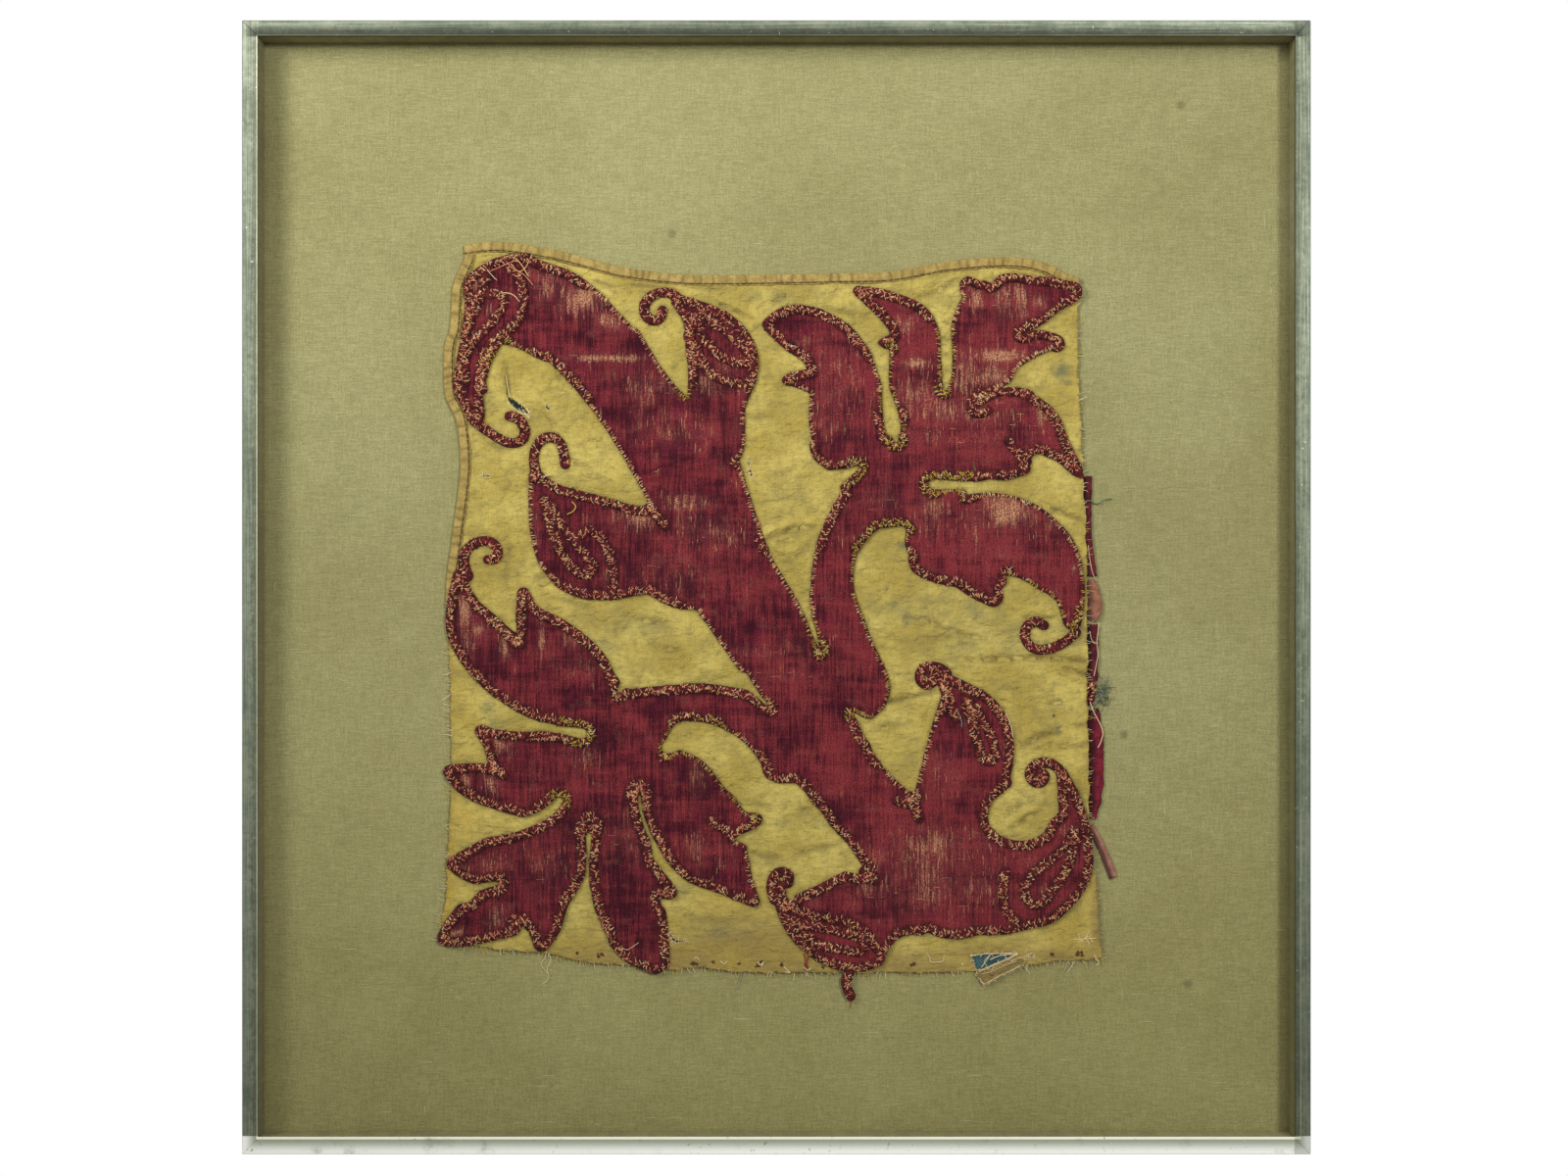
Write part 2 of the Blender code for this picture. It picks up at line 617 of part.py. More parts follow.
def main_loops(depth):
    """Largest outline and the holes in it, thinned."""
    loops = trace_loops(depth)
    loops.sort(key=lambda loop: -abs(loop_area(loop)))
    outer = loops[0]
    holes = [loop for loop in loops[1:]
             if abs(loop_area(loop)) > 14.0 and inside_loops([loop[0]], [outer])[0]
             and loop_area(loop) * loop_area(outer) < 0]
    return [thin_loop(loop) for loop in [outer] + holes]


def offset_track(track, distance):
    """The line moved sideways, to the right hand of its direction of travel on the page."""
    rows = np.array(track, float)[:, :2]
    direction = np.gradient(rows, axis=0)
    direction /= np.hypot(*direction.T)[:, None]
    side = np.stack([-direction[:, 1], direction[:, 0]], axis=1)
    return [tuple(row) for row in rows + side * distance]


def box_solid(name, low, high, material_name):
    x0, y0, z0 = low
    x1, y1, z1 = high
    vertices = [(x0, y0, z0), (x1, y0, z0), (x1, y1, z0), (x0, y1, z0),
                (x0, y0, z1), (x1, y0, z1), (x1, y1, z1), (x0, y1, z1)]
    faces = [(3, 2, 1, 0), (4, 5, 6, 7), (0, 1, 5, 4), (1, 2, 6, 5), (2, 3, 7, 6), (3, 0, 4, 7)]
    return add_object(name, vertices, faces, material_name)


def mitred_bar(name, side, profile, cap_cells, material_name):
    """Bar along one side of the frame, cut at 45 degrees at both ends.

    The profile has columns inward from the outer edge and forward from the wall.
    """
    half_width = FRAME_WIDTH / 2
    half_height = FRAME_HEIGHT / 2
    trim = GAP * 0.71
    vertices = []
    for end in (-1, 1):
        for inward, forward in profile:
            if side in ("top", "bottom"):
                x = end * (half_width - inward - trim)
                z = MIDDLE_Z + (half_height - inward) * (1 if side == "top" else -1)
            else:
                x = (half_width - inward) * (1 if side == "right" else -1)
                z = MIDDLE_Z + end * (half_height - inward - trim)
            vertices.append((x, -forward, z))
    count = len(profile)
    faces = [(index, (index + 1) % count, (index + 1) % count + count, index + count)
             for index in range(count)]
    faces += [tuple(reversed(cell)) for cell in cap_cells]
    faces += [tuple(corner + count for corner in cell) for cell in cap_cells]
    if side in ("bottom", "right"):
        faces = [tuple(reversed(face)) for face in faces]
    return add_object(name, vertices, faces, material_name)


def build_frame():
    wall = RAIL_WALL
    flange = RAIL_FLANGE
    cut = RAIL_CHAMFER
    profile = [
        (0.0, 0.0), (0.0, flange), (0.0, FRAME_DEPTH - flange), (0.0, FRAME_DEPTH - cut),
        (cut, FRAME_DEPTH), (wall, FRAME_DEPTH), (RAIL_FACE - cut, FRAME_DEPTH),
        (RAIL_FACE, FRAME_DEPTH - cut), (RAIL_FACE, FRAME_DEPTH - flange),
        (wall, FRAME_DEPTH - flange), (wall, flange), (RAIL_FACE, flange), (RAIL_FACE, 0.0),
        (wall, 0.0),
    ]
    cells = [(0, 1, 10, 13), (1, 2, 9, 10), (2, 3, 4, 5, 9), (5, 6, 7, 8, 9), (13, 10, 11, 12)]
    for side in ("top", "bottom", "left", "right"):
        mitred_bar("rail_" + side, side, profile, cells, "aged_metal")

    clear = RAIL_WALL + GAP
    half_width = FRAME_WIDTH / 2 - clear
    half_height = FRAME_HEIGHT / 2 - clear
    glazing_front = FRAME_DEPTH - RAIL_FLANGE - GAP
    glazing_back = glazing_front - GLAZING_THICK
    box_solid("glazing", (-half_width, -glazing_front, MIDDLE_Z - half_height),
              (half_width, -glazing_back, MIDDLE_Z + half_height), "clear_sheet")
    spacer_front = glazing_back - GAP
    spacer_back = LINEN_FACE + GAP
    spacer = [(clear, spacer_back), (clear, spacer_front), (clear + SPACER_WIDE, spacer_front),
              (clear + SPACER_WIDE, spacer_back)]
    for side in ("top", "bottom", "left", "right"):
        mitred_bar("spacer_" + side, side, spacer, [(0, 1, 2, 3)], "linen")
    board_front = BOARD_BACK + BOARD_THICK
    box_solid("backing_board", (-half_width, -board_front, MIDDLE_Z - half_height),
              (half_width, -BOARD_BACK, MIDDLE_Z + half_height), "board")
    box_solid("linen_mount", (-half_width, -LINEN_FACE, MIDDLE_Z - half_height),
              (half_width, -board_front - GAP, MIDDLE_Z + half_height), "linen")


def build_binding(name, track):
    """Strip folded over the edge of the ground, swept along the track."""
    back = GROUND_LIFT - GAP - BINDING_THICK
    front = GROUND_LIFT + GROUND_THICK + GAP
    fold = BINDING_THICK / UNIT
    section = [
        (0.0, back), (0.0, front + BINDING_THICK), (BINDING_WIDE, front + BINDING_THICK),
        (BINDING_WIDE, front), (fold, front), (fold, back + BINDING_THICK),
        (BINDING_WIDE, back + BINDING_THICK), (BINDING_WIDE, back),
    ]
    cells = [(0, 1, 4, 5), (1, 2, 3, 4), (0, 5, 6, 7)]
    stations = even_track(smooth_track(track), BINDING_STEP)
    lanes = [offset_track(stations, inward) for inward, _ in section]
    vertices = []
    for index in range(len(stations)):
        for lane, (_, forward) in zip(lanes, section):
            vertices.append(on_sheet(lane[index][0], lane[index][1], forward))
    size = len(section)
    faces = []
    for index in range(len(stations) - 1):
        near = index * size
        far = near + size
        for corner in range(size):
            after = (corner + 1) % size
            faces.append((near + corner, near + after, far + after, far + corner))
    last = (len(stations) - 1) * size
    faces += [tuple(reversed(cell)) for cell in cells]
    faces += [tuple(corner + last for corner in cell) for cell in cells]
    return add_object(name, vertices, faces, "binding")


def ground_loops():
    inset = BINDING_THICK / UNIT + GAP / UNIT + 0.2
    top = offset_track(even_track(smooth_track(TOP_EDGE), BINDING_STEP), inset)
    left = offset_track(even_track(smooth_track(LEFT_EDGE[::-1]), BINDING_STEP), inset)
    lower = even_track(smooth_track(LOWER_LEFT_EDGE[::-1]), 30.0)
    right = even_track(smooth_track(RIGHT_EDGE[::-1]), 30.0)
    bottom = even_track(smooth_track(BOTTOM_EDGE[::-1]), 24.0)
    outline = top + right[:-1] + bottom[:-1] + lower + left
    hole = even_track(smooth_track(HOLE_EDGE + HOLE_EDGE[:1], 4), 9.0)[:-1]
    return [outline, hole]


def build_textile():
    bindings = [smooth_track(TOP_EDGE), smooth_track(LEFT_EDGE[::-1])]
    middles = [with_width(offset_track(track, BINDING_WIDE / 2), BINDING_WIDE / 2 + BINDING_CLEAR)
               for track in bindings]
    over_binding = depth_in_strokes(middles)
    leaves = depth_in_strokes([smooth_track(stations) for stations in LEAVES.values()])
    clefts = depth_in_strokes([smooth_track(stations) for stations in CLEFTS.values()])
    velvet = soften(np.minimum(leaves, -clefts))
    velvet = np.minimum(velvet, -over_binding - CORD_HALF - 0.6)
    velvet_outline = main_loops(velvet)

    loops = ground_loops()
    sheet_solid("ground_cloth", loops, GROUND_LIFT, GROUND_THICK, SHEET_SPACING, "silk")
    build_binding("binding_top", TOP_EDGE)
    build_binding("binding_left", LEFT_EDGE[::-1])

    velvet_back = GROUND_LIFT + GROUND_THICK + GAP
    sheet_solid("velvet_applique", velvet_outline, velvet_back, VELVET_THICK, VELVET_SPACING, "velvet")

    edges = [with_width(loop + loop[:1], CORD_HALF) for loop in velvet_outline]
    curls = {name: smooth_track(stations) for name, stations in CURLS.items()}
    outline_depth = depth_in_strokes(edges + [with_width(curl, CORD_HALF) for curl in curls.values()])
    outline_depth = np.minimum(outline_depth, -over_binding)
    cord_foot = velvet_back + VELVET_THICK + GAP
    ridges = [loop + loop[:1] for loop in velvet_outline]
    for curl in curls.values():
        ridges += ridge_lines(curl, outline_depth)
    cord_solid("cord_outline", main_loops(outline_depth), ridges, cord_foot, CORD_HIGH, "cord")

    taken = outline_depth + GAP / UNIT
    for name, stations in LOOPS.items():
        track = smooth_track(stations)
        own = depth_in_strokes([with_width(track, CORD_HALF - 0.6)])
        region = np.minimum(own, -taken)
        taken = np.maximum(taken, own + GAP / UNIT)
        cord_solid(name, main_loops(region), ridge_lines(track, region), cord_foot, CORD_HIGH, "cord")

    for name, stations in RIGHT_STRIPS.items():
        rows = even_track(stations, STRIP_STEP)
        inner = [(row[1], row[0]) for row in rows]
        outer = [(row[2], row[0]) for row in rows]
        colour = "tape" if name.startswith("tape") else "velvet"
        sheet_solid(name, [inner + outer[::-1]], GAP, STRIP_THICK, 40.0, colour)
    tail = even_track(smooth_track(TAPE_TAIL), 10.0)
    sides = offset_track(tail, TAPE_TAIL_HALF), offset_track(tail, -TAPE_TAIL_HALF)
    sheet_solid("tape_tail", [sides[0] + sides[1][::-1]], GAP, STRIP_THICK, 40.0, "tape")
    sheet_solid("lining_scrap", [LINING_EDGE], GAP, STRIP_THICK, 40.0, "lining")


clear_scene()
build_frame()
build_textile()
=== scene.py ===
"""Looks of the framed applique tapestry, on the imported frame.

Metres, X to the viewer's right, Z up, Y back towards the wall.  The textile is worked out in
drawing units, x to the right and y down, as seen from the front, and heights are forward of
the face of the linen.
"""
import math

import bpy
import numpy as np
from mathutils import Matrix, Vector

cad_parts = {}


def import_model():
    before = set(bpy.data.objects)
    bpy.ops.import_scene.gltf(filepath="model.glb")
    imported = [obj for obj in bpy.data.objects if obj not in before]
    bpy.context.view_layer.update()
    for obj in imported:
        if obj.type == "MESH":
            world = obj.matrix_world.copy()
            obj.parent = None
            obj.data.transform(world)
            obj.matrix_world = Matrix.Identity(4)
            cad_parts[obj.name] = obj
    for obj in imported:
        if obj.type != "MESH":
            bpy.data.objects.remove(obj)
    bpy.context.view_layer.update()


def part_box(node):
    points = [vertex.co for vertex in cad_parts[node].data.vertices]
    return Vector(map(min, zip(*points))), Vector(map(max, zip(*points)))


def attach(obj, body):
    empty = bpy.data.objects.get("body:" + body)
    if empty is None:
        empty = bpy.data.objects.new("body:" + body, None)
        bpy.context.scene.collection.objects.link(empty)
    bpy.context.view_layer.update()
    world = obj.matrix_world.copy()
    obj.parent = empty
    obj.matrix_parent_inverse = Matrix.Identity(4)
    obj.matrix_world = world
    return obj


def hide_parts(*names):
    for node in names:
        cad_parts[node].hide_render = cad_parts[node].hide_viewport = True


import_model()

FRAME_WIDTH = 0.818
FRAME_HEIGHT = 0.868
FRAME_DEPTH = 0.045
RAIL_FACE = 0.012
MIDDLE_Z = RAIL_FACE / 2 - FRAME_HEIGHT / 2
OPENING_RIGHT = FRAME_WIDTH / 2 - RAIL_FACE
OPENING_TOP = MIDDLE_Z + FRAME_HEIGHT / 2 - RAIL_FACE
OPENING_BOTTOM = MIDDLE_Z - FRAME_HEIGHT / 2 + RAIL_FACE
FLOOR_Z = -1.35
LINEN_FACE = 0.0166
LINEN_THICK = 0.001
MILLIMETRE = 0.001

# Heights forward of the linen.
RELIEF_HIGH = 0.0009
LINING_BACK = 0.0003
STRIP_FRONT = 0.0012
SILK_FRONT = 0.0028
VELVET_FRONT = 0.0043
BINDING_FRONT = 0.0041
FLAP_FRONT = 0.0041
REMNANT_FRONT = 0.0030

# Thicknesses of the cloths, and heights over the cloth below.
CLOTH_THICK = 0.0008
VELVET_THICK = 0.0010
FLAP_THICK = 0.0007
CREASE_DEEP = 0.0018
CORD_RISE = 0.0030
CORD_LIFT = 0.00003
TEAR_FRONT = 0.00006
TEAR_BACK = 0.00001
SLUB_LIFT = 0.00006
MITRE_LIFT = 0.00002

# Radii of the threads, as one value or as the least and the greatest.
HAIR_RADIUS = (0.00012, 0.00022)
FINE_HAIR_RADIUS = (0.00012, 0.0002)
BARE_RADIUS = (0.00008, 0.00015)
STITCH_RADIUS = (0.00024, 0.00036)
WHISKER_RADIUS = (0.00018, 0.00028)
STUB_RADIUS = (0.0003, 0.0005)
SLUB_RADIUS = (0.00014, 0.00026)
SEAM_RADIUS = 0.00034
MITRE_RADIUS = 0.00016

# How many threads are strewn at random: the bare ones by the size of each worn patch.
BARE_THREADS_A_UNIT = 0.07
TANGLE_THREADS = 46
REMNANT_STITCHES = 60
KNOT_STITCHES = 7
SLUBS = 520

# Drawing units.
UNIT = 0.00076
DRAWN_CENTRE_X = 792.3
DRAWN_CENTRE_Y = 599.3
PAGE_LEFT = 436
PAGE_TOP = 236
PAGE_WIDE = 712
PAGE_HIGH = 800
STROKE_REACH = 16.0
EDGE_BAND = 9.0
CORD_HALF = 4.7
CORD_INSET = 3.0
THIN_HALF = 1.5
BINDING_WIDE = 10.8
SEAM_INWARD = 9.0
BINDING_CORNER = (477.0, 250.0)
TANGLE_X = (1115, 1126)
TANGLE_Y = (696, 718)
REMNANT_X = (1109, 1117)
REMNANT_Y = (697, 714)

# Sizes of the cells of each mesh, and steps along the lines, in drawing units.
SILK_CELL = 2.25
HIDDEN_SILK_CELL = 8.0
VELVET_CELL = 2.4
CORD_CELL = 2.0
LINING_CELL = 3.0
FLAP_CELL = 1.5
TEAR_CELL = 1.0
BINDING_STEP = 1.15
STRIP_STEP = 3.0
CORD_STEP = 2.5
STITCH_STEP = 0.50
SEAM_STEP = 6.5

# Cells of a strip from its inner to its outer edge, in a row of a coarse block, and of the linen.
STRIP_CELLS = 6
BLOCK = 6
LINEN_COLUMNS = 64
LINEN_ROWS = 68

# An outline needs more points than these to be kept, and to have a cord along it.
SHORTEST_LOOP = 8
SHORTEST_CORD = 60

# Slubs stay off the rim of the linen and off the textile, which lies within the bounds below.
SLUB_MARGIN = 0.012
SLUB_APART = 14
TEXTILE_BOUNDS = (440, 1145, 240, 1030)

# Corners of the frame: left or right, and bottom or top.
CORNERS = ((-1, 1), (1, 1), (1, -1), (-1, -1))

# Section of the frame's lip: millimetres out from the opening and proud of the front.
LIP_SECTION = [(0.05, 0.02), (0.05, 0.22), (0.25, 0.38), (0.65, 0.42), (1.0, 0.34), (1.15, 0.16),
               (1.15, 0.02)]

# The lip lies further out on the right, and is wider and higher up at the bottom.
LIP_RIGHT_OUT = 0.0036
LIP_BOTTOM_UNIT = 0.0019
LIP_BOTTOM_UP = 0.0016

# Section of a binding: how far in from its edge, and the height in millimetres.
BINDING_SECTION = [
    (0.9, 0.30), (0.3, 0.55), (0.0, 1.1), (-0.1, 1.9), (0.0, 2.8), (0.35, 3.55), (1.2, 4.0),
    (2.6, 4.12), (4.2, 4.10), (5.8, 4.12), (7.2, 4.10), (8.3, 3.90), (9.0, 3.72), (9.7, 3.95),
    (10.5, 4.0), (10.8, 3.65), (10.7, 3.12), (7.0, 3.10), (3.0, 3.08), (1.6, 2.90), (1.4, 2.1),
    (1.6, 1.35), (4.0, 1.25), (10.8, 1.25), (10.8, 0.32), (5.0, 0.30),
]

# Two tones for each kind of thread.
TONES = {
    "dark": ((0.034, 0.004, 0.007), (0.090, 0.011, 0.014)),
    "red": ((0.23, 0.021, 0.023), (0.38, 0.048, 0.037)),
    "salmon": ((0.74, 0.235, 0.145), (0.95, 0.46, 0.250)),
    "gold": ((0.80, 0.50, 0.170), (0.96, 0.71, 0.300)),
    "pale": ((0.86, 0.66, 0.370), (0.94, 0.80, 0.520)),
    "yellow": ((0.52, 0.38, 0.045), (0.64, 0.48, 0.080)),
    "green": ((0.10, 0.16, 0.070), (0.16, 0.22, 0.110)),
    "grey": ((0.26, 0.28, 0.220), (0.40, 0.42, 0.340)),
    "shade": ((0.030, 0.045, 0.038), (0.075, 0.095, 0.080)),
    "brown": ((0.075, 0.030, 0.012), (0.15, 0.070, 0.026)),
    "tan": ((0.46, 0.24, 0.120), (0.56, 0.33, 0.180)),
    "linen_thread": ((0.56, 0.51, 0.300), (0.70, 0.65, 0.420)),
}

# Share of each tone among the stitches, added up, by whether the cord is thin and is yellow.
STITCH_SHARES = {
    (True, True): (("yellow", 0.72), ("pale", 0.84), ("salmon", 1.0)),
    (True, False): (("gold", 0.50), ("pale", 0.66), ("salmon", 1.0)),
    (False, True): (("yellow", 0.62), ("pale", 0.76), ("dark", 0.88), ("red", 1.0)),
    (False, False): (("dark", 0.28), ("red", 0.53), ("salmon", 0.80), ("gold", 0.95), ("pale", 1.0)),
}

# Cloths of the strips behind the right edge.
STRIP_CLOTHS = {
    "strip_velvet": ((0.050, 0.006, 0.011), (0.15, 0.017, 0.026)),
    "strip_velvet_bright": ((0.085, 0.006, 0.014), (0.22, 0.016, 0.034)),
    "salmon_tape": ((0.22, 0.080, 0.052), (0.34, 0.150, 0.095)),
    "pink_tape": ((0.27, 0.105, 0.080), (0.40, 0.190, 0.140)),
}
CLOTH_OF_STRIP = {
    "velvet_strip_upper": "strip_velvet", "tape_middle": "salmon_tape",
    "velvet_strip_middle": "strip_velvet", "velvet_strip_lower": "strip_velvet_bright",
}

# Edges of the silk ground.  Columns: x, y.
TOP_EDGE = [
    (474, 250), (502, 247), (530, 249), (560, 254), (590, 261), (615, 268), (640, 274), (680, 279),
    (720, 281), (800, 280), (850, 279), (900, 278), (930, 274), (960, 268), (1000, 264),
    (1030, 263), (1052, 265), (1072, 271), (1085, 278), (1102, 284),
]
LEFT_EDGE = [
    (474, 264), (463, 290), (461, 310), (459, 335), (454, 352), (453, 375), (455, 405),
    (466, 430), (470, 470), (468, 500), (464, 530), (460, 560), (456, 590), (455, 613),
]
LOWER_LEFT_EDGE = [
    (457, 640), (459, 690), (460, 780), (458, 850), (455, 900), (452, 930), (449, 960),
]
BOTTOM_EDGE = [
    (449, 960), (500, 968), (560, 974), (600, 982), (640, 985), (680, 990), (720, 988), (760, 992),
    (850, 993), (940, 993), (985, 992), (1045, 986), (1090, 980), (1125, 978),
]
RIGHT_EDGE = [
    (1125, 978), (1121, 940), (1118, 895), (1112, 840), (1111, 800), (1110, 700), (1109, 580),
    (1106, 487), (1102, 420), (1100, 350), (1101, 302),
]
# The worn hole low on the right, through which the lining shows.
HOLE_EDGE = [(991, 974), (1008, 972.5), (1024, 972.5), (1038, 971.5), (1028, 977), (1015, 983),
             (1001, 989), (996, 988), (993, 981)]

# The scrap of lining under the hole, hidden past the edge of the hole.
LINING_EDGE = [(978, 966), (1046, 966), (1046, 980), (1012, 990), (978, 989)]

# Velvet leaves.  Rows: leaf, then stations along its middle line.  Columns: x, y, half width.
LEAVES = {
    "hook": [(486, 424, 7), (479, 392, 14), (487, 348, 22), (506, 306, 35), (550, 307, 44),
             (600, 344, 44), (650, 411, 40), (704, 482, 50)],
    "hook_inner": [(498, 335, 14), (528, 328, 24), (560, 345, 22)],
    "trunk": [(704, 482, 50), (738, 574, 46), (768, 625, 44), (811, 690, 43), (843, 768, 42),
              (874, 810, 38), (925, 868, 54), (965, 893, 58)],
    "foot_ridge": [(825, 921, 8), (845, 915, 10), (862, 906, 10), (878, 900, 10)],
    "foot": [(965, 893, 58), (1010, 898, 54), (1050, 895, 50)],
    "boteh_east": [(1050, 895, 50), (1076, 882, 37), (1094, 845, 16), (1090, 812, 9),
                   (1083, 788, 4)],
    "boteh_south": [(975, 898, 58), (966, 838, 37), (986, 785, 44), (990, 746, 38),
                    (978, 712, 16), (965, 696, 7)],
    "boteh_foot": [(797, 920, 6), (832, 943, 26), (876, 948, 41), (925, 912, 42)],
    "stem_north": [(862, 700, 42), (857, 650, 28), (849, 600, 21), (857, 552, 20),
                   (888, 510, 28), (925, 480, 40)],
    "heel_north": [(866, 720, 13), (880, 706, 26), (868, 680, 30)],
    "leaf_a": [(784, 331, 5), (812, 335, 22), (845, 353, 28), (862, 390, 34), (863, 430, 36),
               (872, 460, 34), (890, 490, 30)],
    "heel_a": [(848, 456, 20), (870, 453, 21)],
    "barb_a": [(801, 388, 3), (822, 388, 9), (850, 395, 16)],
    "leaf_b": [(875, 297, 4), (905, 312, 13), (932, 336, 22), (934, 380, 26), (945, 430, 32),
               (960, 465, 45)],
    "barb_b": [(897, 350, 3), (915, 350, 7), (932, 356, 10)],
    "leaf_c": [(1094, 298, 9), (1060, 305, 21), (1018, 325, 40), (1004, 365, 34),
               (985, 410, 34), (960, 455, 50)],
    "corner_c": [(987, 291, 7), (1000, 306, 16)],
    "lobe_c": [(1077, 351, 4), (1050, 351, 13), (1015, 360, 25)],
    "leaf_d": [(1103, 486, 3), (1080, 458, 11), (1051, 434, 27), (1015, 441, 41),
               (960, 450, 50)],
    "lobe_d": [(1047, 488, 6), (1033, 476, 13), (980, 455, 30)],
    "leaf_e": [(1094, 633, 8), (1089, 600, 16), (1064, 567, 33), (1020, 550, 45),
               (962, 547, 42), (930, 505, 45)],
    "barb_e": [(1013, 609, 5), (1000, 592, 14), (985, 575, 20)],
    "boteh_west": [(546, 485, 4), (560, 512, 19), (581, 539, 38), (603, 558, 51),
                   (640, 562, 45), (668, 562, 43), (704, 575, 46)],
    "boteh_north": [(692, 307, 5), (716, 327, 16.5), (732, 352, 31), (738, 374, 34), (731, 410, 29),
                    (725, 450, 34)],
    "stem_west": [(850, 770, 38), (800, 745, 37), (760, 728, 23), (720, 717, 18),
                  (680, 720, 19), (640, 745, 38), (610, 778, 48)],
    "heel_west": [(775, 765, 16), (797, 781, 16), (815, 775, 18)],
    "leaf_f": [(468, 584, 3), (472, 615, 13), (483, 643, 25), (513, 674, 32), (556, 691, 42),
               (600, 712, 34), (630, 745, 38)],
    "lobe_f": [(534, 604, 4), (541, 630, 12), (565, 665, 32), (590, 692, 34), (600, 715, 28)],
    "leaf_g": [(489, 744, 3), (510, 760, 14), (545, 785, 37), (600, 790, 48)],
    "leaf_h": [(459, 787, 5), (485, 797, 17), (520, 805, 22), (570, 800, 40)],
    "leaf_i": [(462, 881, 5), (485, 882, 17), (520, 876, 28), (575, 872, 40), (615, 820, 48)],
    "leaf_j": [(454, 957, 6), (475, 945, 18), (503, 928, 29), (545, 900, 42), (590, 850, 38)],
    "lobe_j": [(553, 962, 7), (556, 940, 17), (560, 905, 33)],
    "leaf_k": [(670, 984, 8), (652, 957, 25), (639, 920, 33), (632, 870, 31), (630, 820, 30)],
    "barb_k": [(688, 912, 4), (670, 902, 12), (650, 890, 20)],
    "leaf_l": [(770, 920, 4), (745, 892, 20), (715, 855, 42), (695, 813, 40), (680, 790, 28)],
    "barb_l": [(773, 836, 4), (752, 838, 12), (725, 825, 25)],
    "hub": [(600, 770, 28), (640, 795, 45), (680, 812, 38)],
}

# Bare silk between the leaves.  Same columns as the leaves.
CLEFTS = {
    "hook_top": [(549, 260, 7), (579.5, 270, 7), (600.5, 282, 7), (619, 297, 7), (636.5, 316.5, 7),
                 (648.5, 331, 6)],
    "hook_side": [(455, 288, 19), (455, 310, 21.5), (452, 340, 21), (450, 362, 19), (450, 380, 16),
                  (449, 398, 13)],
    "slot_east": [(952, 494, 7), (985, 495, 6), (1020, 494, 5), (1060, 492, 13)],
    "slot_c": [(1052, 387, 8), (1030, 394, 4), (1012, 401, 2.5), (996, 411, 2)],
    "slot_west": [(470, 726, 14), (530, 737, 7), (575, 745, 6), (594, 748, 7)],
    "slot_south_west": [(470, 842, 18), (520, 843, 9), (555, 831, 7), (571, 817, 6)],
    "eye_west": [(508, 901, 4), (490, 905, 5), (475, 915, 8)],
    "slot_south": [(596, 968, 29), (593, 932, 17), (598, 905, 7), (600, 880, 3), (601, 852, 5)],
    "slot_leaf_k": [(720, 935, 22), (690, 895, 6), (668, 862, 4), (655, 830, 3.5),
                    (653, 812, 3.5)],
    "notch_j": [(529, 966, 7), (532, 952, 4), (534, 942, 2)],
    "window_south": [(681, 762, 8), (701, 753, 13), (733, 762, 20), (757, 784, 21),
                     (765, 802, 19), (786, 820, 15), (808, 838, 20), (822, 862, 30),
                     (800, 890, 30)],
    "window_south_foot": [(830, 848, 17), (850, 868, 18), (868, 884, 12), (881, 891, 6)],
    "window_leaf_l": [(795, 870, 33), (775, 858, 10), (753, 856, 4)],
    "heel_west_edge": [(811, 802, 5), (818, 813, 8), (833, 840, 8), (848, 861, 8)],
    "window_east": [(920, 541, 6), (903, 561, 22), (905, 590, 32)],
    "window_heel_a": [(850, 489, 11), (866, 482, 6), (878, 475, 2)],
    "wedge_trunk": [(815, 596, 11), (823, 622, 6), (831, 647, 3.5), (837, 664, 2)],
    "wedge_heel": [(888, 747, 10), (878, 734, 5), (869, 726, 2)],
    "wedge_foot": [(884, 738, 7), (893, 752, 9), (905, 773, 10), (918, 792, 7), (929, 807, 3)],
    "wedge_branch": [(758, 692, 8), (772, 708, 4), (785, 721, 2)],
    "notch_f": [(642, 689, 8), (631, 706, 3)],
    "wedge_f": [(509, 618, 8), (519, 640, 3), (527, 652, 1.5)],
    "wedge_e": [(1072, 617, 5), (1056, 606, 7), (1040, 597, 8), (1029, 589, 4)],
    "window_boteh_east": [(1027, 803, 4), (1014, 824, 10), (1016, 842, 11), (1037, 850, 13),
                          (1058, 845, 13), (1071, 825, 10)],
    "notch_boteh_foot": [(952, 968, 11), (926, 968, 16), (909, 990, 12)],
    "notch_c": [(1011, 268, 16), (1011, 290, 2)],
    "wedge_c": [(1095, 330, 14), (1060, 335, 4), (1042, 341, 2)],
    "wedge_b": [(963, 300, 8), (966, 340, 6), (966, 375, 7), (964, 397, 4)],
    "wedge_a": [(890, 352, 6), (905, 400, 5), (912, 430, 8), (914, 450, 4)],
}

